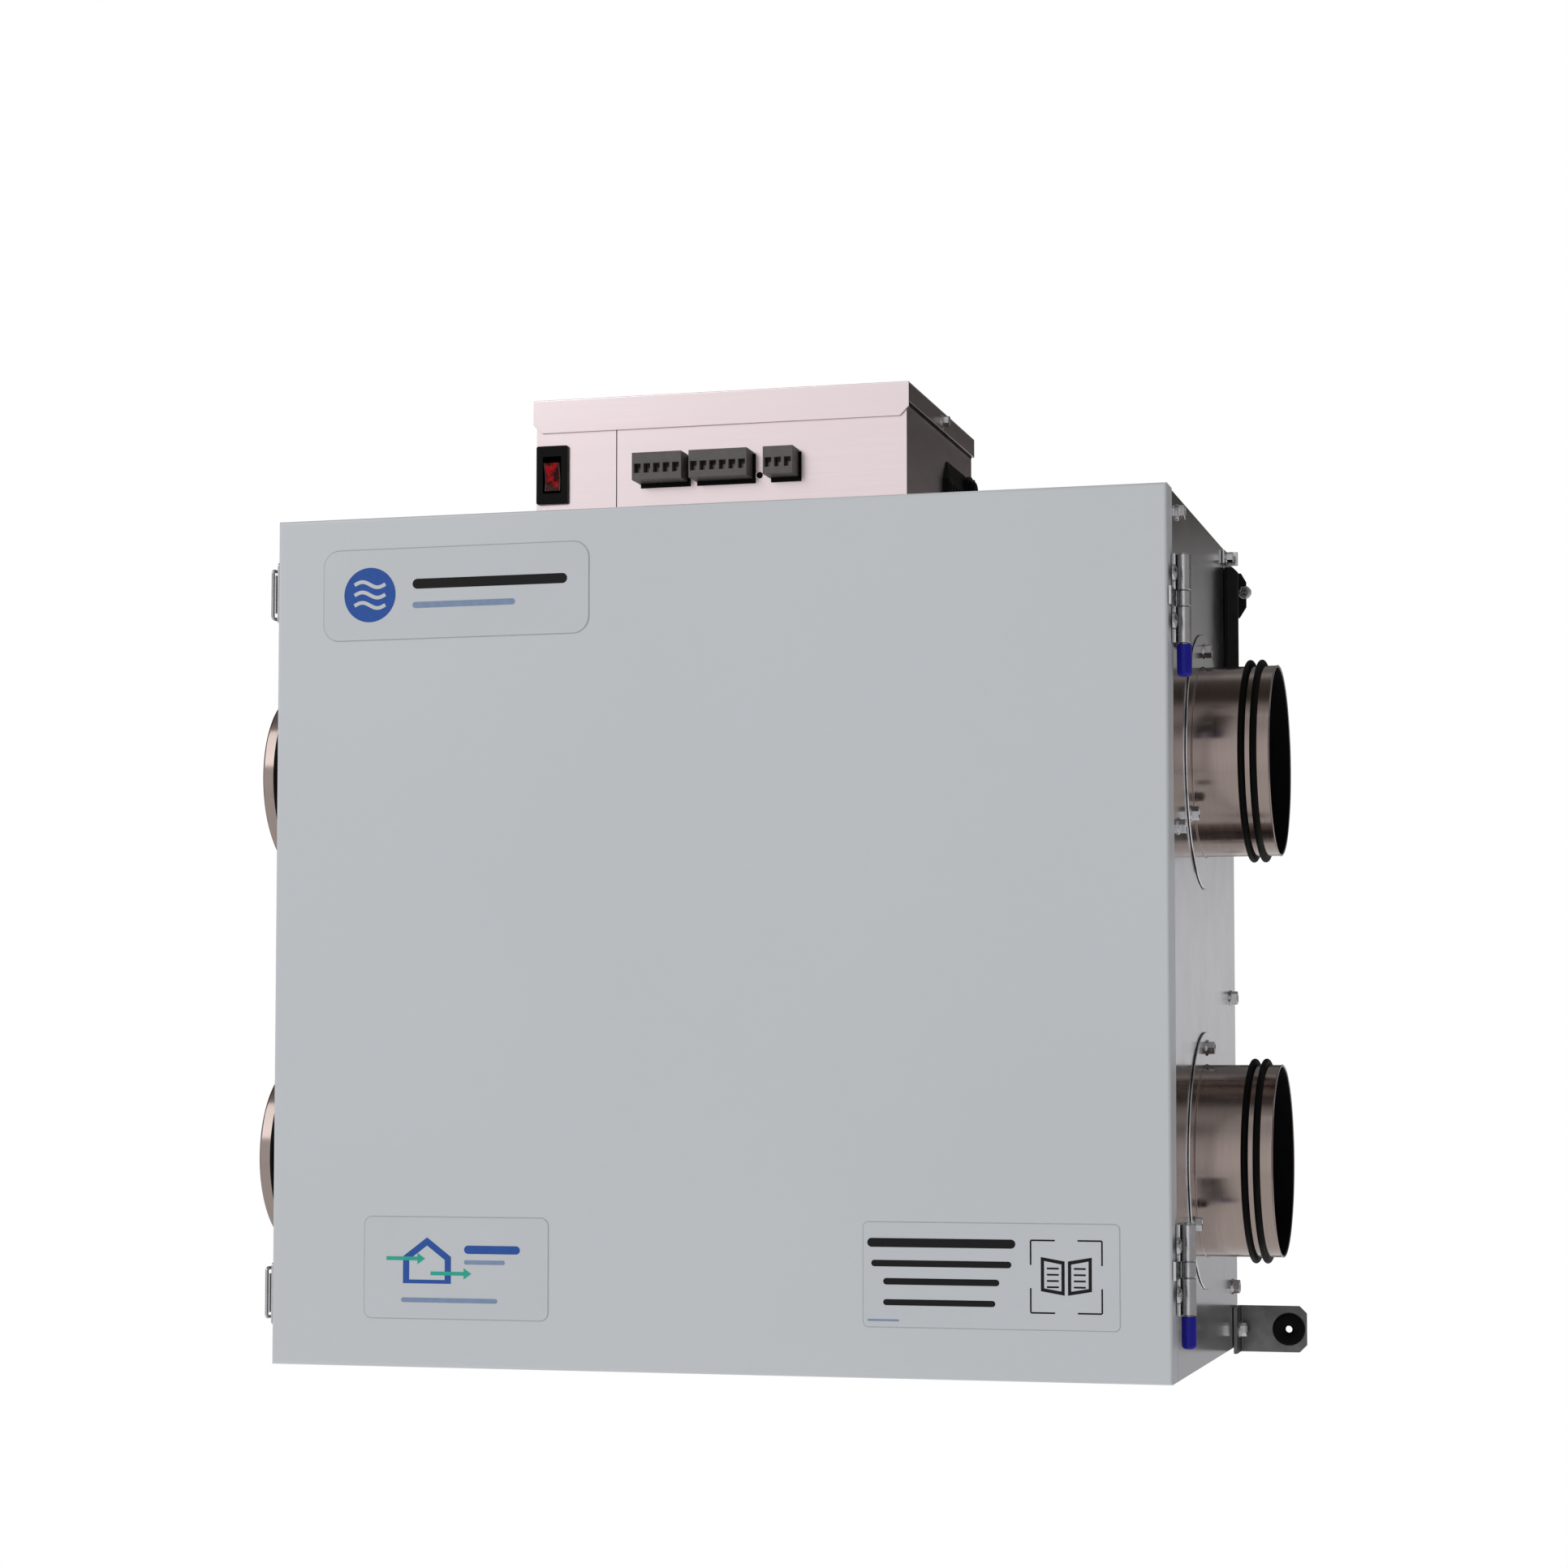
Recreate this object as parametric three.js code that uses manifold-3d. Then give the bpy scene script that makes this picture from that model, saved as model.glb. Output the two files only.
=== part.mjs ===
// Wall-hung heat recovery ventilator with side duct collars, a hinged front door and a control box on top.
//
// Units are millimetres and +Z is up. Inside the `unit` group, x runs from the case's centre to its right,
// y runs back from the front of the door, and z runs up from the underside of the case. The group is then
// placed so that the origin is the centre of the back face, where the unit meets the wall.
import * as THREE from "three";
import { mergeVertices } from "three/addons/utils/BufferGeometryUtils.js";
import Module from "manifold-3d";

// ---------- driving dimensions ----------

const WIDTH = 466; // case and door
const HEIGHT = 436; // case
const DEPTH = 246; // front of the door to the wall
const DOOR_DEPTH = 18;
const DOOR_HEIGHT = 437; // 1 proud of the case top
const SHEET = 1; // steel sheet
const GAP = 0.3; // between touching pieces
const SEAM = 0.6; // between the door and the case

const FOAM = 12; // insulation of the case
const RIB = 12; // partitions between the air chambers
const PARTITION_REACH = 1.8; // a rib ends this far from the core's edge

const PORT_Y = 123.5; // duct centres
const PORT_LOW_Z = 104.5;
const PORT_HIGH_Z = 310.7;
const PORT_HOLE_R = 49;
const COLLAR_R = 49.2;
const COLLAR_WALL = 0.8;
const COLLAR_LENGTH = 40;
const COLLAR_FLANGE_R = 66.25;
const COLLAR_FLANGE = 1.3;
const SEAL_R = 52.5; // tips of the rubber lips
const SEAL_LIPS = [8.2, 14.2]; // lip centres, from the rim
const SEAL_BAND = [5.8, 16.6]; // band under the lips, from the rim
const ROUND = 32; // sides of a duct-sized circle

const CORE_SIDE = 150; // square section, standing on an edge
const CORE_Z = (PORT_LOW_Z + PORT_HIGH_Z) / 2;
const CORE_Y = [24, 229];
const FILTER = { thick: 10, wide: 136, gap: 1 };

const FAN = {
  plateX: 122,
  plate: 2,
  inletR: 36,
  radius: 52,
  frontX: 128.5,
  backX: 170,
  disc: 2,
  hubR: 20,
  blades: 7,
  motorX: 171,
  strapX: 198,
  strap: 2,
  motorR: 27,
  shaftR: 3,
  boreR: 3.4,
};

const HINGE = { x: WIDTH / 2 + 5.6, y: 18.4, barrelR: 3.6, boreR: 2.3, pinR: 2, leaf: 1.5 };
const KNUCKLES = [18, 7.9, 18.1]; // from the bottom up
const HINGE_LENGTH = 44;
const HINGE_INSET = 32.3; // barrel end to the case's nearer end
const CAP_R = 3.75;
const CAP_LENGTH = 15.8;

const LATCH_INSET = 36; // latch centre to the case's nearer end
const LEVER_PIVOT = { y: 31, out: 4.6 }; // out is the distance from the case's side
const BAIL_PIVOT = { y: 41, out: 3.2 };
const BAIL_ROD = { y: 8, out: 6 };
const WIRE_R = 0.9;
const WIRE_Z = 12.6;

const BOX = { centreX: 1.2, halfWidth: 98.2, front: 18.4, back: 178, height: 61 };
const LID = { lap: 1.4, frontFlange: 17.2, sideFlange: 10.2, chamfer: 4.6, play: 0.4 };
const SWITCH = { x: [-96.5, -79.5], z: [6.7, 37], proud: 2, pivotY: 24, tilt: 8 };
const TERMINAL_Z = [15.3, 29.4]; // above the case top
const TERMINAL_PROUD = 12;
const TERMINAL_PITCH = 5.08;
const TERMINALS = [
  { name: "terminal_plug_a", poles: 5, x: [-41.7, -15.4] },
  { name: "terminal_plug_b", poles: 6, x: [-11.6, 19.1] },
  { name: "terminal_plug_c", poles: 3, x: [27.5, 43.1] },
];
const STATUS_HOLE = { x: 22.6, z: 17, r: 1.65 };
const GLAND = { y: 158.4, z: 27, r: 10, neck: 7.5, proud: 7 };

const BRACKET = { z: [-3, 22.2], reach: 38, thick: 2, leg: 20, chamfer: 4 };
const GROMMET = { out: 28.3, z: 9.6, r: 8.8, neck: 6.2, bore: 1.9, flange: 2.2 };
const HANGER = { y: 212, thick: 2.5, out: 7.6, top: 10, length: 100, chamfer: 3, foot: 18 };

const SIDES = { left: -1, right: 1 };
const LEVELS = { lower: PORT_LOW_Z, upper: PORT_HIGH_Z };

// ---------- solids ----------

const wasm = await Module();
wasm.setup();

/** Turns a closed three.js geometry into a solid that can be cut and joined. */
function solid(geometry) {
  geometry.deleteAttribute("normal");
  geometry.deleteAttribute("uv");
  const merged = mergeVertices(geometry, 1e-4);
  return new wasm.Manifold(
    new wasm.Mesh({
      numProp: 3,
      vertProperties: merged.attributes.position.array,
      triVerts: new Uint32Array(merged.index.array),
    }),
  );
}

/** A block between pairs of coordinates, which may be given in either order. */
function block(xs, ys, zs) {
  const sizes = [xs, ys, zs].map(([a, b]) => Math.abs(b - a));
  const middles = [xs, ys, zs].map(([a, b]) => (a + b) / 2);
  return solid(new THREE.BoxGeometry(...sizes).translate(...middles));
}

function outline(points) {
  return new THREE.Shape(points.map(([a, b]) => new THREE.Vector2(a, b)));
}

function extruded(points, depth) {
  return new THREE.ExtrudeGeometry(outline(points), { depth, bevelEnabled: false });
}

/** A prism that stands on the XY plane, from [x, y] points. */
function prismZ(points, [z0, z1]) {
  return solid(extruded(points, z1 - z0).translate(0, 0, z0));
}

/** A prism along X, from [y, z] points. */
function prismX(points, [x0, x1]) {
  const turn = new THREE.Matrix4().makeBasis(
    new THREE.Vector3(0, 1, 0),
    new THREE.Vector3(0, 0, 1),
    new THREE.Vector3(1, 0, 0),
  );
  return solid(extruded(points, x1 - x0).applyMatrix4(turn).translate(x0, 0, 0));
}

/** A prism along Y, from [x, z] points. */
function prismY(points, [y0, y1]) {
  const turn = new THREE.Matrix4().makeBasis(
    new THREE.Vector3(1, 0, 0),
    new THREE.Vector3(0, 0, 1),
    new THREE.Vector3(0, -1, 0),
  );
  return solid(extruded(points, y1 - y0).applyMatrix4(turn).translate(0, y1, 0));
}

/** A round bar along X, Y or Z. The centre is its place on the other two axes, in X, Y, Z order. */
function bar(axis, [a, b], radius, [from, to], sides = 16) {
  const geometry = new THREE.CylinderGeometry(radius, radius, Math.abs(to - from), sides);
  const middle = (from + to) / 2;
  if (axis === "x") return solid(geometry.rotateZ(-Math.PI / 2).translate(middle, a, b));
  if (axis === "y") return solid(geometry.translate(a, middle, b));
  return solid(geometry.rotateX(Math.PI / 2).translate(a, b, middle));
}

/** A ring along X, from a closed profile of [distance out from the case's side, radius]. */
function ringX(side, profile, y, z) {
  const points = profile.map(([out, radius]) => new THREE.Vector2(radius, out));
  const closed = [...points, points[0].clone()];
  const geometry = new THREE.LatheGeometry(closed, ROUND);
  return solid(geometry.rotateZ(-side * (Math.PI / 2)).translate((side * WIDTH) / 2, y, z));
}

/** A round wire through points, with a ball-like joint at each bend made by overlapping bars. */
function wire(points, radius, sides = 8) {
  const up = new THREE.Vector3(0, 1, 0);
  const corners = points.map((p) => new THREE.Vector3(...p));
  const runs = corners.slice(1).map((end, i) => {
    const start = corners[i];
    const along = end.clone().sub(start);
    const geometry = new THREE.CylinderGeometry(radius, radius, along.length(), sides);
    geometry.applyQuaternion(new THREE.Quaternion().setFromUnitVectors(up, along.normalize()));
    const middle = start.clone().add(end).multiplyScalar(0.5);
    return solid(geometry.translate(middle.x, middle.y, middle.z));
  });
  const elbows = corners.slice(1, -1).map((p) => {
    return solid(new THREE.SphereGeometry(radius * 1.03, sides, 4).translate(p.x, p.y, p.z));
  });
  return join(...runs, ...elbows);
}

function join(first, ...others) {
  return others.reduce((whole, piece) => whole.add(piece), first);
}

function cut(first, ...tools) {
  return tools.reduce((whole, tool) => whole.subtract(tool), first);
}

// ---------- materials ----------

function material(color, roughness, metalness) {
  return new THREE.MeshStandardMaterial({ color, roughness, metalness });
}

const doorPaint = material(0xb9bdc2, 0.42, 0.1);
const galvanised = material(0xa3a2aa, 0.28, 0.9);
const boxSteel = material(0xd8d0d2, 0.3, 0.85);
const collarSteel = material(0x8f8480, 0.3, 0.9);
const plainSteel = material(0xb5b6b8, 0.3, 0.95);
const blackSteel = material(0x1d1d1f, 0.45, 0.5);
const rubber = material(0x121212, 0.7, 0);
const foam = material(0xeeeeea, 0.9, 0);
const corePlastic = material(0xd9e2e4, 0.45, 0);
const filterMedia = material(0x9aa0a2, 0.95, 0);
const panPlastic = material(0x2b2d30, 0.5, 0);
const terminalPlastic = material(0x4b4846, 0.5, 0);
const switchPlastic = material(0x101010, 0.35, 0);
const rockerPlastic = material(0xb01018, 0.25, 0);
const boardGreen = material(0x1f6b3a, 0.5, 0);
const windings = material(0x8a6a3a, 0.5, 0.3);
const fanPlastic = material(0x1b1b1d, 0.45, 0);

// ---------- assembly ----------

const unit = new THREE.Group();

/** Puts a solid into the unit as a named mesh. */
function place(name, shape, finish) {
  const { numProp, vertProperties, triVerts } = shape.getMesh();
  const positions = new Float32Array((vertProperties.length / numProp) * 3);
  for (let i = 0; i < positions.length / 3; i++)
    positions.set(vertProperties.subarray(i * numProp, i * numProp + 3), i * 3);
  const geometry = new THREE.BufferGeometry()
    .setAttribute("position", new THREE.BufferAttribute(positions, 3))
    .setIndex(new THREE.BufferAttribute(triVerts, 1));
  geometry.computeVertexNormals();
  const mesh = new THREE.Mesh(geometry, finish);
  mesh.name = name;
  unit.add(mesh);
}

function forEachSide(make) {
  for (const [name, side] of Object.entries(SIDES)) make(name, side);
}

/** Distance out from a side of the case, as an x coordinate. */
function outward(side, distance) {
  return side * (WIDTH / 2 + distance);
}

// ---------- case ----------

const CASE_FRONT = DOOR_DEPTH + SEAM;
const INNER_X = WIDTH / 2 - SHEET;
const FLANGE = 11; // turned in round the door opening

function casePanels() {
  const halfX = INNER_X - GAP;
  const deep = [CASE_FRONT, DEPTH];
  const lip = [CASE_FRONT, CASE_FRONT + SHEET];
  const top = join(
    block([-halfX, halfX], deep, [HEIGHT - SHEET, HEIGHT]),
    block([-halfX + FLANGE, halfX - FLANGE], lip, [HEIGHT - FLANGE, HEIGHT]),
  );
  const bottom = join(
    block([-halfX, halfX], deep, [0, SHEET]),
    block([-halfX + FLANGE, halfX - FLANGE], lip, [0, FLANGE]),
  );
  const upright = [SHEET + GAP, HEIGHT - SHEET - GAP];
  place("case_top_panel", top, galvanised);
  place("case_bottom_panel", bottom, galvanised);
  place("case_back_panel", block([-halfX, halfX], [DEPTH - SHEET, DEPTH], upright), galvanised);
  forEachSide((name, side) => {
    const sheet = block([side * INNER_X, outward(side, 0)], deep, [0, HEIGHT]);
    const turned = block([side * (INNER_X - FLANGE), side * INNER_X], lip, upright);
    const holes = Object.values(LEVELS).map((z) =>
      bar("x", [PORT_Y, z], PORT_HOLE_R, [outward(side, 2), outward(side, -3)], ROUND),
    );
    place(`case_${name}_panel`, cut(join(sheet, turned), ...holes), galvanised);
  });
}

const LINER_Y = [CASE_FRONT + SHEET + 1, DEPTH - SHEET - FOAM - 2 * GAP];
const LINER_X = INNER_X - GAP;
const LINER_TOP = HEIGHT - SHEET - GAP;
const LINER_BOTTOM = SHEET + GAP;
const CORE_REACH = CORE_SIDE / Math.SQRT2;

/** Foam walls; the side and top ones carry the partitions that meet the core's edges. */
function insulation() {
  const back = [DEPTH - SHEET - GAP - FOAM, DEPTH - SHEET - GAP];
  const backWall = block([-LINER_X, LINER_X], back, [LINER_BOTTOM, LINER_TOP]);
  place("liner_back", backWall, foam);
  const halfX = LINER_X - FOAM - GAP;
  const slab = block([-halfX, halfX], LINER_Y, [LINER_TOP - FOAM, LINER_TOP]);
  const topRibEnd = CORE_Z + CORE_REACH + PARTITION_REACH;
  const topRib = block([-RIB / 2, RIB / 2], LINER_Y, [topRibEnd, LINER_TOP - FOAM]);
  place("liner_top", join(slab, topRib), foam);
  forEachSide((name, side) => {
    const inner = LINER_X - FOAM;
    const wall = block([side * inner, side * LINER_X], LINER_Y, [LINER_BOTTOM, LINER_TOP]);
    const ribX = [side * (CORE_REACH + PARTITION_REACH), side * inner];
    const rib = block(ribX, LINER_Y, [CORE_Z - RIB / 2, CORE_Z + RIB / 2]);
    const holes = Object.values(LEVELS).map((z) =>
      bar("x", [PORT_Y, z], PORT_HOLE_R, [side * (inner - 2), side * (LINER_X + 2)], ROUND),
    );
    place(`liner_${name}`, cut(join(wall, rib), ...holes), foam);
  });
}

const PAN = { wall: 2.5, rim: 20 };

/** Tray under the core, with the upright that carries the core's lower edge. */
function condensatePan() {
  const halfX = LINER_X - FOAM - GAP;
  const [front, back] = LINER_Y;
  const outer = block([-halfX, halfX], LINER_Y, [LINER_BOTTOM, PAN.rim]);
  const floor = LINER_BOTTOM + PAN.wall;
  const hollowY = [front + PAN.wall, back - PAN.wall];
  const hollow = block([PAN.wall - halfX, halfX - PAN.wall], hollowY, [floor, PAN.rim + 1]);
  const ribEnd = CORE_Z - CORE_REACH - PARTITION_REACH;
  const rib = block([-RIB / 2, RIB / 2], LINER_Y, [LINER_BOTTOM, ribEnd]);
  place("condensate_pan", join(cut(outer, hollow), rib), panPlastic);
}

// ---------- heat exchange core and filters ----------

/** A rectangle turned to the core's 45 degrees, from a range out along its face and one across it. */
function tilted(side, [near, far], [low, high]) {
  const corner = (out, across) => [
    (side * (out - across)) / Math.SQRT2,
    CORE_Z + (out + across) / Math.SQRT2,
  ];
  return [corner(near, low), corner(far, low), corner(far, high), corner(near, high)];
}

function coreAndFilters() {
  const half = CORE_SIDE / 2;
  const body = prismY(tilted(1, [-half, half], [-half, half]), CORE_Y);
  const bite = 6;
  const inset = 3;
  const channels = [-1, 1].flatMap((a) =>
    [-1, 1].map((b) => {
      const across = b < 0 ? [-half + bite, -bite / 2] : [bite / 2, half - bite];
      const out = a < 0 ? [-half - 1, -half + inset] : [half - inset, half + 1];
      return prismY(tilted(1, out, across), [CORE_Y[0] + bite, CORE_Y[1] - bite]);
    }),
  );
  place("heat_exchanger_core", cut(body, ...channels), corePlastic);
  forEachSide((name, side) => {
    const near = half + FILTER.gap;
    const across = [-FILTER.wide / 2, FILTER.wide / 2];
    const pad = prismY(tilted(side, [near, near + FILTER.thick], across), CORE_Y);
    place(`filter_${name}`, pad, filterMedia);
  });
}

// ---------- fans ----------

/** A backward-curved blade as [y, z] points round the fan's axis. */
function bladeOutline(turn) {
  const steps = 3;
  const thick = 1.8;
  const sweep = 0.75;
  const innerR = FAN.hubR - 1;
  const outerR = FAN.radius - 0.6;
  const edge = (offset) =>
    Array.from({ length: steps + 1 }, (_, i) => {
      const along = i / steps;
      const radius = innerR + (outerR - innerR) * along;
      const angle = turn - sweep * along ** 1.3 + offset / radius;
      return [radius * Math.cos(angle) + PORT_Y, radius * Math.sin(angle) + PORT_LOW_Z];
    });
  return [...edge(-thick / 2), ...edge(thick / 2).reverse()];
}

function fans() {
  const centre = [PORT_Y, PORT_LOW_Z];
  forEachSide((name, side) => {
    const along = (a, b) => [Math.min(side * a, side * b), Math.max(side * a, side * b)];
    const plateSpan = along(FAN.plateX, FAN.plateX + FAN.plate);
    const plateZ = [PAN.rim + GAP, CORE_Z - RIB / 2 - GAP];
    const plate = block(plateSpan, [LINER_Y[0], LINER_Y[1]], plateZ);
    const inlet = bar("x", centre, FAN.inletR, along(FAN.plateX - 2, FAN.frontX + 1), 24);
    const throat = bar("x", centre, FAN.inletR + 2.5, along(FAN.plateX, FAN.frontX - 1), 24);
    place(`fan_plate_${name}`, cut(join(plate, throat), inlet), plainSteel);

    const back = bar("x", centre, FAN.radius, along(FAN.backX - FAN.disc, FAN.backX), 24);
    const hub = bar("x", centre, FAN.hubR, along(FAN.frontX + 14, FAN.backX), 24);
    const shroud = cut(
      bar("x", centre, FAN.radius, along(FAN.frontX, FAN.frontX + FAN.disc), 24),
      bar("x", centre, FAN.inletR + 1, along(FAN.frontX - 1, FAN.frontX + FAN.disc + 1), 24),
    );
    const blades = Array.from({ length: FAN.blades }, (_, i) =>
      prismX(bladeOutline((i * 2 * Math.PI) / FAN.blades), along(FAN.frontX + 1, FAN.backX - 1)),
    );
    const bore = bar("x", centre, FAN.boreR, along(FAN.frontX, FAN.backX + 1), 12);
    const eye = bar("x", centre, FAN.inletR + 1, along(FAN.frontX - 1, FAN.frontX + 14), 24);
    const wheel = cut(join(back, shroud, ...blades), eye);
    place(`fan_impeller_${name}`, cut(join(wheel, hub), bore), fanPlastic);

    const shaft = bar("x", centre, FAN.shaftR, along(FAN.frontX + 16, FAN.motorX + 1), 12);
    const motor = bar("x", centre, FAN.motorR, along(FAN.motorX, FAN.strapX), 24);
    const strapEnds = [PAN.rim + 6, CORE_Z - RIB / 2 - 6];
    const legX = along(FAN.plateX + FAN.plate + GAP, FAN.strapX + FAN.strap);
    const strapY = [PORT_Y - 9, PORT_Y + 9];
    const strap = block(along(FAN.strapX - 1, FAN.strapX + FAN.strap), strapY, strapEnds);
    const legs = strapEnds.map((z, i) => block(legX, strapY, i ? [z - 2, z] : [z, z + 2]));
    place(`fan_motor_${name}`, join(motor, shaft, strap, ...legs), blackSteel);
  });
}

// ---------- duct collars ----------

function collars() {
  const rim = COLLAR_LENGTH;
  const outer = COLLAR_R;
  const inner = COLLAR_R - COLLAR_WALL;
  const collar = [
    [GAP, inner],
    [GAP, COLLAR_FLANGE_R],
    [GAP + COLLAR_FLANGE, COLLAR_FLANGE_R],
    [GAP + COLLAR_FLANGE, outer],
    [rim, outer],
    [rim, inner],
  ];
  const bandR = outer + GAP;
  const valleyR = bandR + 0.7;
  const [nearRim, farFromRim] = SEAL_BAND.map((distance) => rim - distance);
  const [outerLip, innerLip] = SEAL_LIPS.map((distance) => rim - distance);
  const seal = [
    [farFromRim, bandR],
    [farFromRim, valleyR],
    [innerLip, SEAL_R],
    [(innerLip + outerLip) / 2, valleyR],
    [outerLip, SEAL_R],
    [nearRim, valleyR],
    [nearRim, bandR],
  ];
  forEachSide((name, side) => {
    for (const [level, z] of Object.entries(LEVELS)) {
      place(`duct_collar_${level}_${name}`, ringX(side, collar, PORT_Y, z), collarSteel);
      place(`collar_seal_${level}_${name}`, ringX(side, seal, PORT_Y, z), rubber);
    }
  });
}

// ---------- door ----------

function door() {
  const half = WIDTH / 2;
  const shell = block([-half, half], [0, DOOR_DEPTH], [0, DOOR_HEIGHT]);
  const inside = half - SHEET;
  const hollow = block([-inside, inside], [SHEET, DOOR_DEPTH + 1], [SHEET, DOOR_HEIGHT - SHEET]);
  place("door_panel", cut(shell, hollow), doorPaint);

  const linerEnd = 14;
  const linerHalf = inside - GAP;
  const linerZ = [SHEET + GAP, DOOR_HEIGHT - SHEET - GAP];
  const slab = block([-linerHalf, linerHalf], [SHEET + GAP, linerEnd], linerZ);
  place("door_liner", slab, foam);

  const sealWidth = 10;
  const sealY = [linerEnd + GAP, DOOR_DEPTH + 0.1];
  const ring = block([-linerHalf, linerHalf], sealY, linerZ);
  const innerHalf = linerHalf - sealWidth;
  const innerZ = [linerZ[0] + sealWidth, linerZ[1] - sealWidth];
  const window = block([-innerHalf, innerHalf], [sealY[0] - 1, sealY[1] + 1], innerZ);
  place("door_seal", cut(ring, window), rubber);
}

// ---------- hinges ----------

/** One hinge, its barrel's lower end at the given height. */
function hinge(level, bottom) {
  const axis = [HINGE.x, HINGE.y];
  const leafX = [outward(1, GAP), outward(1, GAP + HINGE.leaf)];
  const heights = KNUCKLES.map((_, i) => {
    const start = bottom + KNUCKLES.slice(0, i).reduce((sum, length) => sum + length, 0);
    return [start + (i ? GAP : 0), start + KNUCKLES[i]];
  });
  const bore = bar("z", axis, HINGE.boreR, [bottom - 1, bottom + HINGE_LENGTH + 1], 12);
  const knuckle = (span, toLeaf) => {
    const web = [
      [leafX[0], HINGE.y + toLeaf * 4.6],
      [leafX[0], HINGE.y + toLeaf * 3.2],
      [HINGE.x, HINGE.y + toLeaf * 1.4],
      [HINGE.x, HINGE.y + toLeaf * 3.2],
    ];
    return join(bar("z", axis, HINGE.barrelR, span, 16), prismZ(web, span));
  };
  const [low, middle, high] = heights;
  const doorPlate = block(leafX, [2, HINGE.y - 5.3], [bottom, bottom + HINGE_LENGTH]);
  const doorEnds = [low, high].flatMap((span) => [
    block(leafX, [2, HINGE.y - 3], span),
    knuckle(span, -1),
  ]);
  const doorLeaf = join(doorPlate, ...doorEnds);
  place(`hinge_door_leaf_${level}`, cut(doorLeaf, bore), plainSteel);

  const casePlate = block(leafX, [HINGE.y + 5.3, 42], [bottom, bottom + HINGE_LENGTH]);
  const caseLeaf = join(casePlate, block(leafX, [HINGE.y + 3, 42], middle), knuckle(middle, 1));
  place(`hinge_case_leaf_${level}`, cut(caseLeaf, bore), plainSteel);

  const capTop = bottom - 0.5;
  const pin = bar("z", axis, HINGE.pinR, [capTop - 1, bottom + HINGE_LENGTH + 0.8], 12);
  const cap = bar("z", axis, CAP_R, [capTop - CAP_LENGTH, capTop], 16);
  place(`hinge_pin_${level}`, join(pin, cap), plainSteel);
}

// ---------- draw latches ----------

/** One draw latch on the left side, centred on the given height. */
function latch(level, centre) {
  const side = SIDES.left;
  const x = (out) => outward(side, out);
  const span = (from, to) => [centre + from, centre + to];
  const plate = block([x(GAP), x(1.5)], [26, 56], span(-14, 14));
  /** Outline from [y, out] steps away from the lever's pivot. */
  const aroundPivot = (steps) =>
    steps.map(([back, out]) => [x(LEVER_PIVOT.out + out), LEVER_PIVOT.y + back]);
  const ear = aroundPivot([
    [-1.8, -3.6],
    [1.8, -3.6],
    [1.8, 0],
    [1.27, 1.27],
    [0, 1.8],
    [-1.27, 1.27],
    [-1.8, 0],
  ]);
  const ears = [span(-9.2, -8), span(8, 9.2)].map((edges) => prismZ(ear, edges));
  const pivot = [x(LEVER_PIVOT.out), LEVER_PIVOT.y];
  const rivet = bar("z", pivot, 1.2, span(-11.3, 11.3), 12);
  place(`latch_base_${level}`, join(plate, ...ears, rivet), plainSteel);

  const cheek = aroundPivot([
    [5, -2.6],
    [25, -2.5],
    [26, 3],
    [2.5, 3],
    [0, 2.6],
    [-1.8, 1.8],
    [-2.4, 0],
    [-1.8, -1.8],
    [0, -2.5],
  ]);
  const cheeks = [span(-11, -9.8), span(9.8, 11)].map((edges) => prismZ(cheek, edges));
  const cover = block([x(6.6), x(7.6)], [33.5, 57], span(-11, 11));
  const lip = prismZ(
    [
      [x(6.6), 56.6],
      [x(7.6), 56.2],
      [x(11.4), 62],
      [x(10.5), 62.8],
    ],
    span(-11, 11),
  );
  const rivetHole = bar("z", pivot, 1.6, span(-12, 12), 12);
  const bailPivot = [x(BAIL_PIVOT.out), BAIL_PIVOT.y];
  const bailHole = bar("z", bailPivot, WIRE_R + 0.4, span(-12, 12), 12);
  const lever = cut(join(...cheeks, cover, lip), rivetHole, bailHole);
  place(`latch_lever_${level}`, lever, plainSteel);

  const near = (sign, z) => [x(BAIL_PIVOT.out), BAIL_PIVOT.y, centre + sign * z];
  const far = (sign) => [x(BAIL_ROD.out), BAIL_ROD.y, centre + sign * WIRE_Z];
  const route = [near(-1, 10), near(-1, WIRE_Z), far(-1), far(1), near(1, WIRE_Z), near(1, 10)];
  place(`latch_bail_${level}`, wire(route, WIRE_R), plainSteel);

  const foot = block([x(GAP), x(1.3)], [2.5, 16.5], span(-15.7, 15.7));
  const riser = block([x(1.2), x(4.6)], [12.9, 13.9], span(-10, 10));
  const hook = block([x(3.7), x(4.6)], [6.5, 13.9], span(-10, 10));
  place(`latch_keeper_${level}`, join(foot, riser, hook), plainSteel);
}

// ---------- control box ----------

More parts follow.
